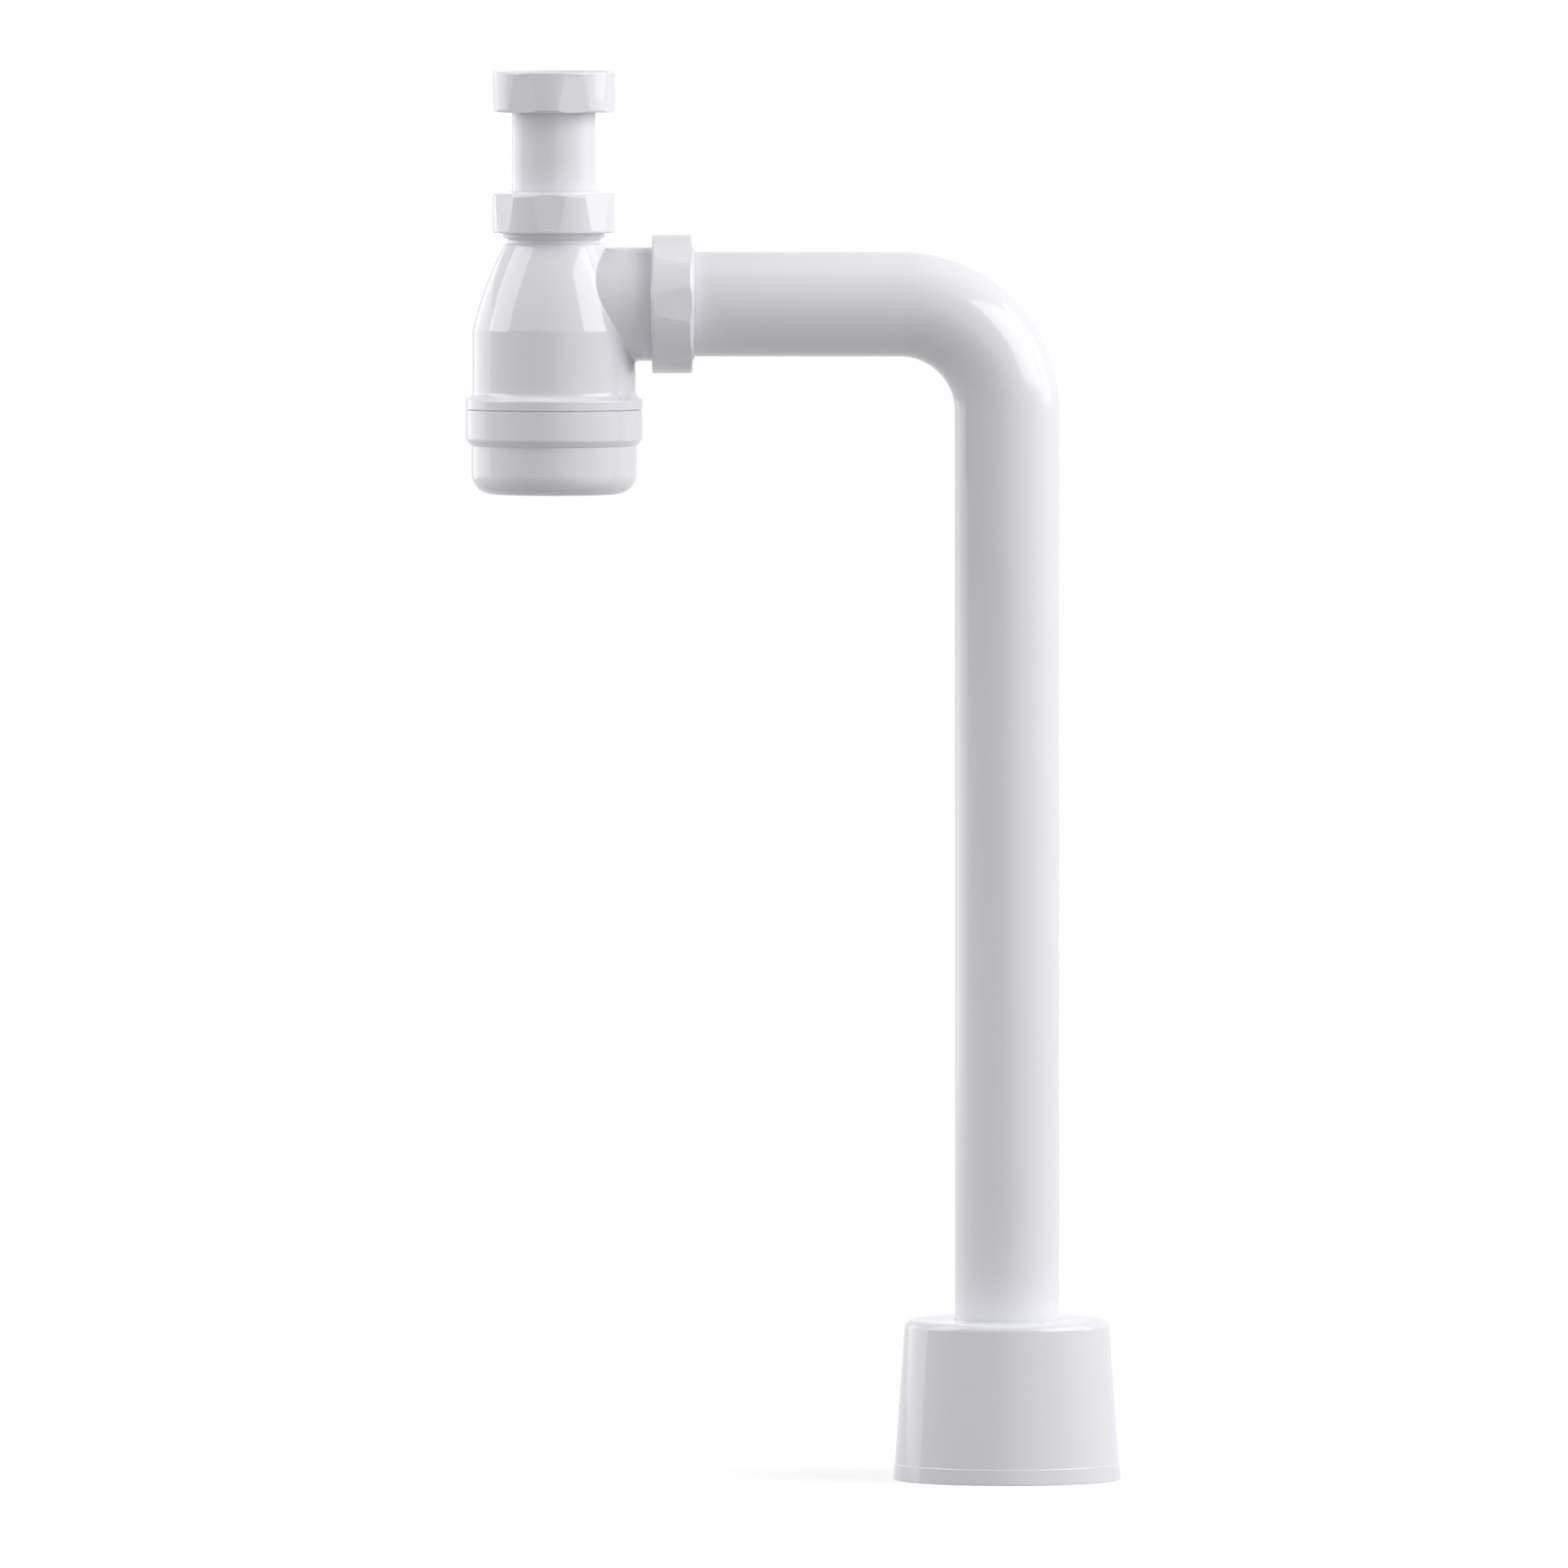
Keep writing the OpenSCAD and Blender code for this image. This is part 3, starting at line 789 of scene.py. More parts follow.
@dataclass
class Bottle:
    """Moulded bottle with a threaded neck, domed shoulder, side spigot, flange and threaded skirt."""

    neck_bore_r: float = 16.35
    neck_core_r: float = 19.4
    neck_h: float = 12.7
    groove_r: float = 17.6
    groove_h: float = 1.4
    shoulder_round: float = 1.5
    shoulder_lift: float = 0.9
    shoulder_h: float = 33.5
    shoulder_curve_r: float = 118.0
    body_r: float = 31.2
    wall: float = 2.4
    flange_h: float = 4.1
    flange_round: float = 0.8
    flange_flare: float = 3.0
    skirt_r: float = 30.9
    flange_r: float = 33.8
    side_h: float = 25.6
    spigot_r: float = 21.7
    spigot_core_r: float = 22.4
    spigot_thread_l: float = 9.0
    spigot_fillet: float = 1.2
    socket_r: float = 20.35
    bore_r: float = 18.2
    pipe_insert: float = 16.0
    outlet_drop: float = 23.2
    seat_h: float = 2.4
    steps: int = 192

    @property
    def mouth(self) -> float:
        """Height of the neck's mouth."""
        return neck_mouth()

    @property
    def foot(self) -> float:
        """Height of the skirt's lower end."""
        return span("bottle", Z)[0]

    @property
    def shoulder(self) -> float:
        """Height of the top of the shoulder."""
        return self.mouth - self.neck_h

    @property
    def side_top(self) -> float:
        """Height at which the dome meets the straight side."""
        return self.shoulder - self.shoulder_h

    @property
    def outlet_z(self) -> float:
        """Height of the outlet's axis."""
        return self.shoulder - self.outlet_drop

    @property
    def spigot_end(self) -> float:
        """Distance of the spigot's mouth from the bottle's axis."""
        return span("bottle", X)[1]

    def skin(self) -> Outline:
        """Draw the outer profile, from the axis at the mouth to the axis at the foot."""
        flange_top = self.side_top - self.side_h
        flange_base = flange_top - self.flange_h
        top = (self.groove_r + self.shoulder_round, self.shoulder + self.shoulder_lift - self.shoulder_round)
        side = (self.body_r, self.side_top)
        centre = arc_centre(side, top, self.shoulder_curve_r)
        start = heading(centre, top)
        small = Vector(top) - self.shoulder_round * (Vector(top) - Vector(centre)).normalized()
        line = Outline(0.0, self.mouth)
        line.to(self.neck_core_r, self.mouth, soften=0.4)
        line.to(self.neck_core_r, self.shoulder + self.groove_h + 1.1, soften=0.3)
        line.to(self.groove_r, self.shoulder + self.groove_h, soften=0.15)
        line.to(self.groove_r, small.y + self.shoulder_round, soften=0.15)
        line.to(small.x, small.y + self.shoulder_round)
        line.arc(tuple(small), start - 90, steps=8)
        line.arc(centre, heading(centre, side) - start, steps=28)
        rolled = self.flange_flare + self.flange_round
        flare = math.acos(1 - (self.flange_r - self.body_r) / rolled)
        flare_top = flange_top - self.flange_round + rolled * math.sin(flare)
        line.to(self.body_r, flare_top)
        line.arc((self.body_r + self.flange_flare, flare_top), math.degrees(flare), steps=12)
        line.arc((self.flange_r - self.flange_round, flange_top - self.flange_round), -math.degrees(flare), steps=8)
        line.to(self.flange_r, flange_base, soften=0.25)
        line.to(self.skirt_r, flange_base, soften=0.2)
        line.to(self.skirt_r, self.foot, soften=0.5)
        line.to(0.0, self.foot)
        return line

    def hollow(self) -> BMesh:
        """Build the space inside, with the neck's seat for its seal."""
        top = (self.neck_bore_r + self.wall / 2, self.shoulder - self.wall)
        side = (self.body_r - self.wall, self.side_top)
        centre = arc_centre(side, top, self.shoulder_curve_r)
        line = Outline(0.0, self.mouth + OVER)
        line.to(self.neck_core_r - 0.5, self.mouth + OVER).to(self.neck_core_r - 0.5, self.mouth)
        line.to(self.neck_bore_r, self.mouth - self.seat_h, soften=0.2)
        line.to(self.neck_bore_r, top[1] + self.wall / 2, soften=0.4).to(*top)
        line.arc(centre, heading(centre, side) - heading(centre, top), steps=16)
        line.to(side[0], self.foot - OVER).to(0.0, self.foot - OVER)
        return line.turned(self.steps, closed=False)

    def spigot_way(self) -> BMesh:
        """Build the way through the spigot: bore, socket for the pipe and seat for its seal."""
        line = Outline(0.0, 0.0)
        line.to(self.bore_r, 0.0).to(self.bore_r, self.spigot_end - self.pipe_insert)
        line.to(self.socket_r, self.spigot_end - self.pipe_insert, soften=0.25)
        line.to(self.socket_r, self.spigot_end - self.seat_h, soften=0.2)
        line.to(self.spigot_core_r - 0.5, self.spigot_end)
        line.to(self.spigot_core_r - 0.5, self.spigot_end + OVER).to(0.0, self.spigot_end + OVER)
        return lay_along_x(line.turned(self.steps, closed=False), self.outlet_z)

    def nearest_on_skin(self, skin: list[tuple[Vector, Vector]], point: Vector) -> Vector:
        """Find the point of the profile nearest to a given one, as distance from the axis and height."""
        best = None
        for start, end in skin:
            way = end - start
            share = max(0.0, min(1.0, (point - start).dot(way) / way.length_squared))
            found = start + share * way
            if best is None or (found - point).length < (best - point).length:
                best = found
        return best

    def under_skin(self, skin: list[tuple[Vector, Vector]], point: Vector) -> bool:
        """Tell whether a point lies inside the profile, where the profile is wider than its place."""
        for start, end in skin:
            share = (point.y - start.y) / (end.y - start.y) if end.y != start.y else -1.0
            if 0 <= share <= 1 and start.x + share * (end.x - start.x) > point.x:
                return True
        return False

    def roll_ball(self, skin: list[tuple[Vector, Vector]], angle: float) -> tuple[Vector, Vector, Vector]:
        """Rest a ball in the corner between the spigot and the bottle, at one angle round the spigot.

        Args:
            skin: The straight pieces of the bottle's profile.
            angle: Angle round the spigot's axis, from straight up towards the back.

        Returns:
            The ball's centre and the points where it touches the spigot and the bottle.
        """
        out = Vector((0.0, math.sin(angle), math.cos(angle)))
        ball = (self.spigot_r + self.spigot_fillet) * out + Vector((0.0, 0.0, self.outlet_z))
        near, far = 0.0, 2 * self.flange_r
        for _ in range(26):
            ball.x = (near + far) / 2
            seen = Vector((ball.xy.length, ball.z))
            if self.under_skin(skin, seen) or (self.nearest_on_skin(skin, seen) - seen).length < self.spigot_fillet:
                near = ball.x
            else:
                far = ball.x
        touch = self.nearest_on_skin(skin, Vector((ball.xy.length, ball.z)))
        on_bottle = Vector((*(ball.xy.normalized() * touch.x), touch.y))
        return ball, ball - self.spigot_fillet * out, on_bottle

    def spigot(self) -> BMesh:
        """Build the spigot with a rolled fillet where it leaves the bottle."""
        line = self.skin()
        line.soften_corners()
        skin = [(e.verts[0].co.xz, e.verts[1].co.xz) for e in line.mesh.edges]
        skin = [pair for pair in skin if min(pair[0].x, pair[1].x) > 1.0 and pair[0].y > self.side_top - 20]
        mesh = bmesh.new()
        columns, rows = 144, 8
        ring = bmesh.ops.create_circle(mesh, cap_ends=False, segments=columns, radius=self.spigot_core_r)["verts"]
        bmesh.ops.rotate(mesh, verts=ring, cent=(0.0, 0.0, 0.0), matrix=Matrix.Rotation(math.pi / 2, 3, "Y"))
        edges = list({edge for vert in ring for edge in vert.link_edges})
        angles = [math.atan2(vert.co.y, vert.co.z) for vert in ring]
        balls = [self.roll_ball(skin, angle) for angle in angles]
        step_x = self.spigot_end - self.spigot_thread_l
        drawn = [
            (self.spigot_core_r - 0.8, self.spigot_end), (self.spigot_core_r - 0.25, self.spigot_end - 0.2),
            (self.spigot_core_r, self.spigot_end - 0.8), (self.spigot_core_r, step_x + 0.4),
            (self.spigot_core_r - 0.2, step_x + 0.1), (self.spigot_r, step_x - 0.5),
        ]
        loops = []
        verts = ring
        for number in range(len(drawn) + rows + 3):
            if number:
                made = bmesh.ops.extrude_edge_only(mesh, edges=edges)["geom"]
                fresh = [g for g in made if isinstance(g, bmesh.types.BMVert)]
                edges = [g for g in made if isinstance(g, bmesh.types.BMEdge) and set(g.verts) <= set(fresh)]
                partner = {v: next(e.other_vert(v) for e in v.link_edges if e.other_vert(v) not in fresh) for v in fresh}
                order = {old: place for place, old in enumerate(verts)}
                verts = sorted(fresh, key=lambda v: order[partner[v]])
            for vert, angle, (ball, on_spigot, on_bottle) in zip(verts, angles, balls):
                out = Vector((0.0, math.sin(angle), math.cos(angle)))
                axis = Vector((0.0, 0.0, self.outlet_z))
                if number < len(drawn):
                    radius, x = drawn[number]
                    vert.co = axis + radius * out + Vector((x, 0.0, 0.0))
                elif number <= len(drawn) + rows:
                    share = (number - len(drawn)) / rows
                    first, last = (on_spigot - ball).normalized(), (on_bottle - ball).normalized()
                    vert.co = ball + self.spigot_fillet * first.slerp(last, share)
                elif number == len(drawn) + rows + 1:
                    vert.co = on_bottle + 0.7 * (on_bottle - ball).normalized()
                else:
                    vert.co = axis + 0.75 * self.spigot_r * out + Vector((4.0, 0.0, 0.0))
            loops.append(verts)
        for loop in (loops[0], loops[-1]):
            bmesh.ops.contextual_create(mesh, geom=loop)
        return closed_up(mesh)

    def bottle(self) -> bpy.types.Object:
        """Build the bottle in one piece and add its three threads."""
        mesh = carve(
            self.skin().turned(self.steps, closed=False),
            [("UNION", self.spigot()), ("DIFFERENCE", self.hollow()), ("DIFFERENCE", self.spigot_way())],
        )
        groove_top = self.shoulder + self.groove_h + 1.1
        flange_base = self.side_top - self.side_h - self.flange_h
        spigot_thread = NUT_THREAD.ridge(
            self.spigot_core_r, True, self.spigot_end - self.spigot_thread_l + 0.6, self.spigot_end - 1.0
        )
        join(
            mesh,
            NUT_THREAD.ridge(self.neck_core_r, True, groove_top + 0.4, self.mouth - 1.0),
            lay_along_x(spigot_thread, self.outlet_z),
            CUP_THREAD.ridge(self.skirt_r, True, self.foot + 1.2, flange_base - 1.4),
        )
        return finished(mesh, "bottle_body", "bottle", "bottle", MOULDED_POLYPROPYLENE)

    def build(self) -> list[bpy.types.Object]:
        """Build the sub-assembly's one piece."""
        return [self.bottle()]


@dataclass
class Outlet:
    """Union nut, slip ring, tapered seal and the bent pipe that leads to the floor."""

    pipe_r: float = 20.0
    pipe_wall: float = 1.8
    bend_r: float = 41.0
    bevel: float = 0.8
    lip_h: float = 0.7
    nut_turn: float = 1.0
    thread_room: float = 0.1
    spigot_core_r: float = 22.4
    spigot_thread_l: float = 9.0
    columns: int = 128
    bend_steps: int = 40

    @property
    def axis_z(self) -> float:
        """Height of the outlet's axis."""
        return span("outlet_pipe", Z)[1] - self.pipe_r

    def nut(self) -> bpy.types.Object:
        """Build the outlet nut, thread towards the bottle, with a lip round the pipe."""
        rim, lip_end = span("outlet_nut", X)
        end = lip_end - self.lip_h
        outer_r = span("outlet_nut", Y)[1]
        mouth = span("bottle", X)[1]
        crest_r = outer_r - 4.0
        bore_r = crest_r + NUT_THREAD.depth + self.thread_room
        shape = UnionNut(
            outer_r=outer_r, hole_r=self.pipe_r + 0.35, height=end - rim, bore_r=bore_r,
            relief_r=crest_r, relief_top=end - mouth, lip_h=self.lip_h, turn=90 + self.nut_turn,
        )
        mesh = turn_over(shape.mesh(), end)
        join(mesh, NUT_THREAD.ridge(bore_r, False, mouth - self.spigot_thread_l + 0.6, mouth - 0.6))
        return finished(
            lay_along_x(mesh, self.axis_z), "outlet_union_nut", "outlet_nut", "outlet_nut",
            MOULDED_POLYPROPYLENE,
        )

    def ring(self) -> bpy.types.Object:
        """Build the slip ring under the nut's end wall."""
        start, end = span("outlet_slip_ring", X)
        mesh = slip_ring(span("outlet_slip_ring", Y)[1], self.pipe_r + 0.1, end - start)
        bmesh.ops.translate(mesh, verts=mesh.verts, vec=(0.0, 0.0, start))
        return finished(
            lay_along_x(mesh, self.axis_z), "outlet_slip_ring_pe", "outlet_ring", "outlet_slip_ring",
            STAMPED_POLYETHYLENE,
        )

    def seal(self) -> bpy.types.Object:
        """Build the tapered seal in the spigot's mouth."""
        start, end = span("outlet_seal", X)
        mouth = span("bottle", X)[1]
        shape = TaperSeal(
            head_r=span("outlet_seal", Y)[1], grip_r=self.pipe_r + 0.05, mouth_r=21.85,
            head_h=end - mouth, taper_h=mouth - start, slope=1.55 / 2.4,
        )
        mesh = shape.mesh()
        bmesh.ops.translate(mesh, verts=mesh.verts, vec=(0.0, 0.0, mouth))
        return finished(
            lay_along_x(mesh, self.axis_z), "outlet_taper_seal", "bottle", "outlet_seal", MOULDED_RUBBER
        )

    def run(self, mesh: BMesh, radius: float) -> tuple[list[bmesh.types.BMEdge], list[bmesh.types.BMEdge]]:
        """Draw one wall of the pipe, level, round the bend and down.

        Args:
            mesh: The mesh that gets the wall.
            radius: The wall's radius.

        Returns:
            The edges round its start and round its end.
        """
        start = span("outlet_pipe", X)[0]
        foot, _ = span("outlet_pipe", Z)
        reach = span("outlet_pipe", X)[1] - self.pipe_r
        ring = bmesh.ops.create_circle(mesh, cap_ends=False, segments=self.columns, radius=radius)["verts"]
        bmesh.ops.rotate(mesh, verts=ring, cent=(0.0, 0.0, 0.0), matrix=Matrix.Rotation(math.pi / 2, 3, "Y"))
        bmesh.ops.translate(mesh, verts=ring, vec=(start, 0.0, self.axis_z))
        first = list({edge for vert in ring for edge in vert.link_edges})
        level_end = self.pushed(mesh, first, Vector((reach - self.bend_r - start, 0.0, 0.0)))
        bent = bmesh.ops.spin(
            mesh, geom=level_end, cent=(reach - self.bend_r, 0.0, self.axis_z - self.bend_r), axis=(0.0, 1.0, 0.0),
            dvec=(0.0, 0.0, 0.0), angle=math.pi / 2, steps=self.bend_steps,
            use_merge=False, use_normal_flip=False, use_duplicate=False,
        )["geom_last"]
        bend_end = [g for g in bent if isinstance(g, bmesh.types.BMEdge)]
        last = self.pushed(mesh, bend_end, Vector((0.0, 0.0, foot - (self.axis_z - self.bend_r))))
        return first, last

    @staticmethod
    def pushed(mesh: BMesh, edges: list[bmesh.types.BMEdge], way: Vector) -> list[bmesh.types.BMEdge]:
        """Extrude a ring of edges along a straight way and give the new ring."""
        made = bmesh.ops.extrude_edge_only(mesh, edges=edges)["geom"]
        fresh = {g for g in made if isinstance(g, bmesh.types.BMVert)}
        bmesh.ops.translate(mesh, verts=list(fresh), vec=way)
        return [g for g in made if isinstance(g, bmesh.types.BMEdge) and set(g.verts) <= fresh]

    def pipe(self) -> bpy.types.Object:
        """Build the bent pipe with its wall, and bevel its ends."""
        mesh = bmesh.new()
        outer = self.run(mesh, self.pipe_r)
        inner = self.run(mesh, self.pipe_r - self.pipe_wall)
        for outside, inside in zip(outer, inner):
            bmesh.ops.bridge_loops(mesh, edges=outside + inside)
        closed_up(mesh)
        foot = span("outlet_pipe", Z)[0]
        lower_rim = [
            edge for edge in mesh.edges
            if all(abs(v.co.z - foot) < 0.01 for v in edge.verts) and edge.calc_face_angle(0.0) > SHARP
        ]
        start = span("outlet_pipe", X)[0]
        upper_rim = [
            edge for edge in mesh.edges
            if all(abs(v.co.x - start) < 0.01 for v in edge.verts) and edge.calc_face_angle(0.0) > SHARP
        ]
        for rim, amount in ((lower_rim, self.bevel / 2), (upper_rim, self.bevel / 3)):
            bmesh.ops.bevel(
                mesh, geom=rim, offset=amount, offset_type="OFFSET", segments=3, profile=0.5, affect="EDGES",
                material=-1,
            )
        return finished(mesh, "outlet_bent_pipe", "outlet_pipe", "outlet_pipe", EXTRUDED_POLYPROPYLENE)

    def build(self) -> list[bpy.types.Object]:
        """Build the sub-assembly's pieces."""
        return [self.nut(), self.ring(), self.seal(), self.pipe()]


@dataclass
class Cup:
    """Screw cup with a threaded collar and a rounded bowl, and its flat seal."""

    bowl_r: float = 31.6
    wall: float = 2.4
    collar_h: float = 13.4
    chamfer_w: float = 1.8
    chamfer_h: float = 2.3
    thread_depth: float = 10.5
    bowl_round: float = 8.0
    rim_rise: float = 0.25
    skirt_r: float = 30.9
    thread_room: float = 0.1
    seal_h: float = 2.0

    def cup(self) -> bpy.types.Object:
        """Build the cup, its collar's rim broken and its foot rounded."""
        base, top = span("cup", Z)
        collar_r = span("cup", X)[1]
        collar_base = top - self.collar_h
        ledge = top - self.thread_depth
        bore_r = self.skirt_r + CUP_THREAD.depth + self.thread_room
        bowl_bore = self.bowl_r - self.wall
        inner_round = self.bowl_round - self.wall
        line = Outline(0.0, base)
        line.to(self.bowl_r - self.bowl_round, base)
        line.arc((self.bowl_r - self.bowl_round, base + self.bowl_round), 90, steps=14)
        line.to(self.bowl_r, collar_base, soften=0.3)
        line.to(collar_r - self.chamfer_w, collar_base, soften=0.3)
        line.to(collar_r, collar_base + self.chamfer_h, soften=0.5)
        line.to(collar_r, top + self.rim_rise, soften=0.4)
        line.to(bore_r + 0.4, top + self.rim_rise, soften=0.2)
        line.to(bore_r, top - 0.6)
        line.to(bore_r, ledge + self.seal_h + 0.4)
        line.to(self.skirt_r + 0.1, ledge + self.seal_h)
        line.to(self.skirt_r + 0.1, ledge, soften=0.2)
        line.to(bowl_bore, ledge, soften=0.3)
        line.to(bowl_bore, base + self.bowl_round)
        line.arc((bowl_bore - inner_round, base + self.bowl_round), -90, steps=10)
        line.to(0.0, base + self.wall)
        mesh = line.turned(192, closed=False)
        foot = span("bottle", Z)[0]
        flange_base = top + 0.4
        join(mesh, CUP_THREAD.ridge(bore_r, False, foot + 1.2, flange_base - 1.4))
        return finished(mesh, "screw_cup", "cup", "cup", MOULDED_POLYPROPYLENE)

    def seal(self) -> bpy.types.Object:
        """Build the flat seal on the ledge inside the collar."""
        base, top = span("cup_seal", Z)
        mesh = slip_ring(span("cup_seal", X)[1], self.bowl_r - self.wall, top - base)
        bmesh.ops.translate(mesh, verts=mesh.verts, vec=(0.0, 0.0, base))
        return finished(mesh, "cup_flat_seal", "cup_seal", "cup_seal", MOULDED_RUBBER)

    def build(self) -> list[bpy.types.Object]:
        """Build the sub-assembly's pieces."""
        return [self.cup(), self.seal()]


@dataclass
class FloorCover:
    """Tapered cover cup round the foot of the pipe, with a small lip and an open underside."""

    top_r: float = 39.3
    foot_r: float = 43.0
    lip_h: float = 5.9
    wall: float = 1.8
    round_r: float = 3.5
    hole_r: float = 20.1
    lip_trim: float = 0.02
    lip_step: float = 0.2

    def cover(self) -> bpy.types.Object:
        """Build the cover about its own axis and set it round the pipe."""
        low, high = span("floor_cover", X)
        base, top = span("floor_cover", Z)
        height = top - base
        lip_r = (high - low) / 2 - self.lip_trim
        lean = math.degrees(math.atan((self.foot_r - self.top_r) / (height - self.lip_h)))
        inner_round = self.round_r - self.wall
        line = Outline(self.hole_r, height - self.wall, soften=0.25)
        line.to(self.hole_r, height, soften=0.4)
        line.to(self.top_r - self.round_r, height)
        line.arc((self.top_r - self.round_r, height - self.round_r), lean - 90, steps=14)
        line.to(self.foot_r, self.lip_h + self.lip_step, soften=0.1)
        line.to(self.foot_r + self.lip_step, self.lip_h, soften=0.1)
        line.to(lip_r, 0.0, soften=0.3)
        line.to(self.foot_r - self.wall, 0.0, soften=0.3)
        line.to(self.foot_r - self.wall, self.lip_h)
        inner_top = (self.top_r - self.wall, height - self.round_r)
        line.to(inner_top[0] - inner_round * (1 - math.cos(math.radians(lean))),
                inner_top[1] + inner_round * math.sin(math.radians(lean)))
        line.arc((self.top_r - self.wall - inner_round, height - self.round_r), 90 - lean, steps=10)
        mesh = line.turned(192)
        bmesh.ops.translate(mesh, verts=mesh.verts, vec=((low + high) / 2, 0.0, base))
        return finished(mesh, "floor_cover_cup", "floor_cover", "floor_cover", MOULDED_POLYPROPYLENE)

    def build(self) -> list[bpy.types.Object]:
        """Build the sub-assembly's one piece."""
        return [self.cover()]


# Studio


@dataclass(frozen=True)
class SoftBox:
    """A soft light that faces the trap: degrees round from the front and up, metres, and watts."""

    name: str
    azimuth: float
    elevation: float
    width: float
    height: float
    power: float
    distance: float = 2.2

    def build(self, target: Vector) -> bpy.types.Object:
        """Hang the light and point it at the target.

        Args:
            target: The point that it faces, in metres.

        Returns:
            The light's object.
        """
        around, up = math.radians(self.azimuth), math.radians(self.elevation)
        out = Vector((math.sin(around) * math.cos(up), -math.cos(around) * math.cos(up), math.sin(up)))
        data = bpy.data.lights.new(self.name, "AREA")
        data.shape = "RECTANGLE"
        data.size = self.width
        data.size_y = self.height
        data.energy = self.power
        lamp = bpy.data.objects.new(self.name, data)
        lamp.location = target + self.distance * out
        lamp.rotation_euler = out.to_track_quat("Z", "Y").to_euler()
        bpy.context.scene.collection.objects.link(lamp)
        return lamp


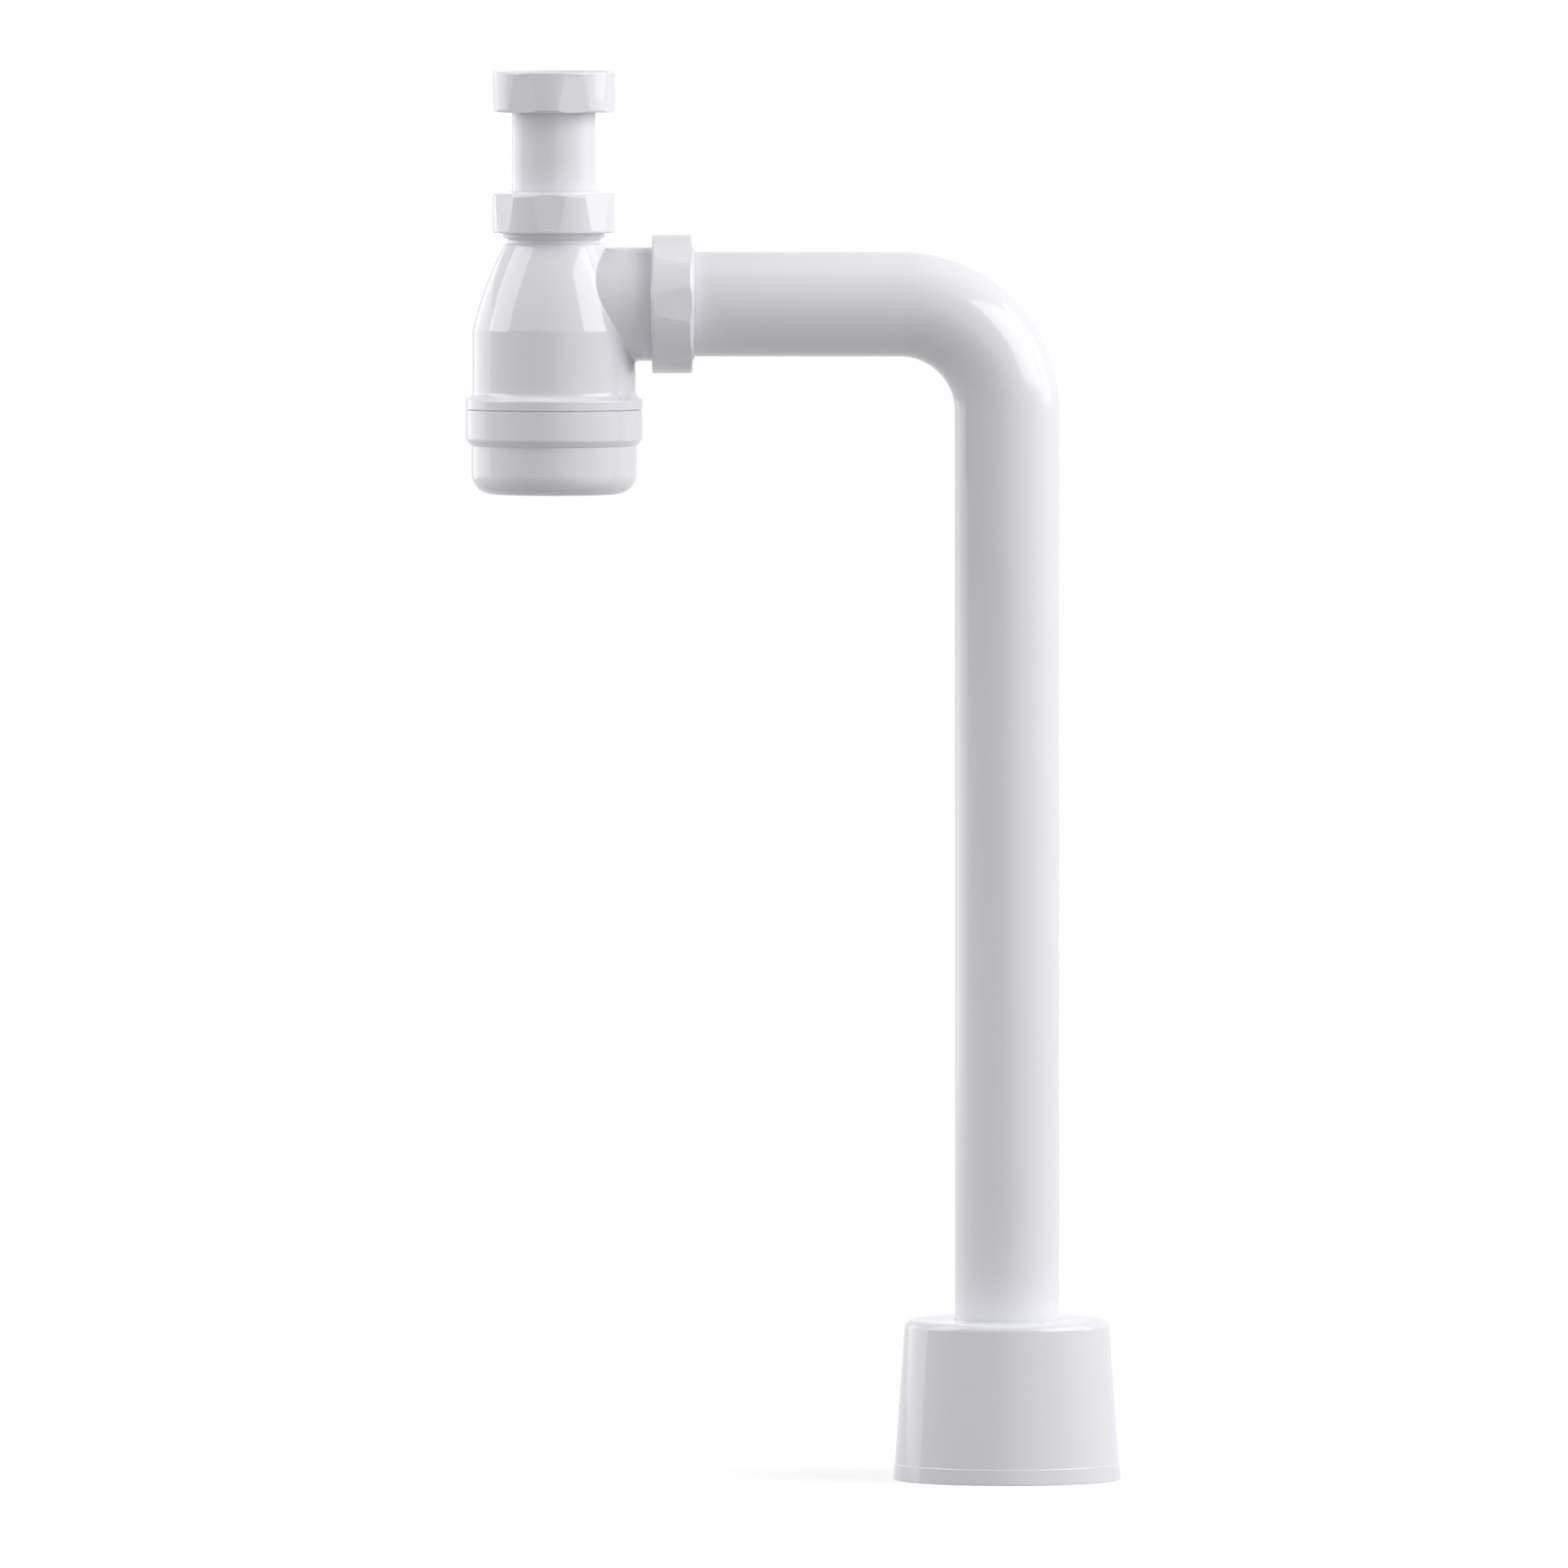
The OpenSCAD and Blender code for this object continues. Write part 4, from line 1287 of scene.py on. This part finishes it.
@dataclass
class Studio:
    """White floor and surroundings, soft lights and the camera."""

    picture_px: float = 1932.0
    mm_per_px: float = 0.3101
    axis_px: Point = (682.8, 88.0)
    inlet_rise: float = 9.0
    camera_distance: float = 12.0
    camera_elevation: float = 2.4
    sensor_mm: float = 36.0
    surroundings: float = 0.31
    floor_colour: str = "A8A8A8"
    floor_lift: tuple[float, float] = (0.63, 0.88)
    floor_fade: float = 3.4
    lights: tuple[SoftBox, ...] = (
        SoftBox("left_panel", azimuth=-88, elevation=33, width=1.4, height=1.9, power=23),
        SoftBox("low_left_panel", azimuth=-125, elevation=7, width=2.0, height=1.05, power=7),
        SoftBox("front_panel", azimuth=24, elevation=6, width=1.6, height=1.0, power=2.8),
        SoftBox("key_light", azimuth=64, elevation=31, width=1.5, height=1.5, power=26),
        SoftBox("back_light", azimuth=98, elevation=25, width=1.3, height=1.6, power=12),
        SoftBox("top_light", azimuth=0, elevation=88, width=1.6, height=1.6, power=3),
    )

    @property
    def target(self) -> Vector:
        """The point of the trap's plane that lies in the middle of the picture, in metres."""
        middle = self.picture_px / 2
        x = (middle - self.axis_px[0]) * self.mm_per_px
        z = (self.axis_px[1] - middle) * self.mm_per_px + self.inlet_rise
        return Vector((x, 0.0, z)) * MM

    def camera(self) -> bpy.types.Object:
        """Place the camera at the picture's angle and framing."""
        up = math.radians(self.camera_elevation)
        out = Vector((0.0, -math.cos(up), math.sin(up)))
        data = bpy.data.cameras.new("camera")
        data.sensor_width = self.sensor_mm
        width = self.picture_px * self.mm_per_px * MM
        data.lens = self.sensor_mm * self.camera_distance / width
        data.clip_end = 3 * self.camera_distance
        camera = bpy.data.objects.new("camera", data)
        camera.location = self.target + self.camera_distance * out
        camera.rotation_euler = out.to_track_quat("Z", "Y").to_euler()
        bpy.context.scene.collection.objects.link(camera)
        bpy.context.scene.camera = camera
        return camera

    @staticmethod
    def shown(tree: bpy.types.NodeTree) -> bpy.types.NodeSocket:
        """Tell rays that show the studio from rays that only carry its light.

        Args:
            tree: Node tree that gets the nodes.

        Returns:
            A socket that is 1 for camera, glossy and transmission rays and 0 for the others.
        """
        rays = add_node(tree, "ShaderNodeLightPath").outputs
        mirrored = add_node(tree, "ShaderNodeMath", {"operation": "MAXIMUM"})
        tree.links.new(rays["Is Camera Ray"], mirrored.inputs[0])
        tree.links.new(rays["Is Glossy Ray"], mirrored.inputs[1])
        through = add_node(tree, "ShaderNodeMath", {"operation": "MAXIMUM"})
        tree.links.new(mirrored.outputs["Value"], through.inputs[0])
        tree.links.new(rays["Is Transmission Ray"], through.inputs[1])
        return through.outputs["Value"]

    def world(self) -> None:
        """Light the trap evenly from all round, and show white to the camera and to reflections."""
        world = bpy.data.worlds.new("white_room")
        world.use_nodes = True
        tree = world.node_tree
        tree.nodes.clear()
        strength = add_node(
            tree, "ShaderNodeMapRange", {"To Min": self.surroundings, "To Max": 1.0}, {"Value": self.shown(tree)}
        )
        light = add_node(
            tree, "ShaderNodeBackground", {"Color": (1.0, 1.0, 1.0, 1.0)}, {"Strength": strength.outputs["Result"]}
        )
        add_node(tree, "ShaderNodeOutputWorld", None, {"Surface": light.outputs["Background"]})
        bpy.context.scene.world = world

    def floor(self) -> bpy.types.Object:
        """Lay a wide white floor under the cover that still takes the trap's shadow.

        Its glow grows with the distance, as the light that falls on it fades, so it is white up to its far edge.

        Returns:
            The floor's object.
        """
        mesh = bmesh.new()
        bmesh.ops.create_grid(mesh, x_segments=1, y_segments=1, size=20.0)
        bmesh.ops.translate(mesh, verts=mesh.verts, vec=(0.0, 0.0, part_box("floor_cover")[0].z))
        data = bpy.data.meshes.new("studio_floor")
        mesh.to_mesh(data)
        mesh.free()
        floor = bpy.data.objects.new("studio_floor", data)
        bpy.context.scene.collection.objects.link(floor)
        material = bpy.data.materials.new("painted_white_floor")
        material.use_nodes = True
        tree = material.node_tree
        tree.nodes.clear()
        paint = add_node(tree, "ShaderNodeBsdfDiffuse", {"Color": linear(self.floor_colour)})
        place = add_node(tree, "ShaderNodeTexCoord").outputs["Object"]
        away = add_node(tree, "ShaderNodeVectorMath", {"operation": "LENGTH"}, {"Vector": place})
        near, far = self.floor_lift
        level = add_node(
            tree,
            "ShaderNodeMapRange",
            {"From Max": self.floor_fade, "To Min": near, "To Max": far},
            {"Value": away.outputs["Value"]},
        )
        lift = add_node(tree, "ShaderNodeMath", {"operation": "MULTIPLY"})
        tree.links.new(self.shown(tree), lift.inputs[0])
        tree.links.new(level.outputs["Result"], lift.inputs[1])
        glow = add_node(tree, "ShaderNodeEmission", None, {"Strength": lift.outputs["Value"]})
        both = add_node(tree, "ShaderNodeAddShader")
        tree.links.new(paint.outputs["BSDF"], both.inputs[0])
        tree.links.new(glow.outputs["Emission"], both.inputs[1])
        add_node(tree, "ShaderNodeOutputMaterial", None, {"Surface": both.outputs["Shader"]})
        data.materials.append(material)
        return floor

    def build(self) -> None:
        """Set up the camera, the surroundings, the floor and the lights."""
        bpy.context.scene.view_settings.view_transform = "Standard"
        self.camera()
        self.world()
        self.floor()
        for box in self.lights:
            box.build(self.target)


def main() -> None:
    """Build the studio and the trap."""
    logging.basicConfig(level=logging.INFO, format="%(message)s")
    Studio().build()
    for sub_assembly in (Inlet(), Neck(), Bottle(), Outlet(), Cup(), FloorCover()):
        for piece in sub_assembly.build():
            LOG.info("%s done: %s", type(sub_assembly).__name__, piece.name)


if __name__ == "__main__":
    main()
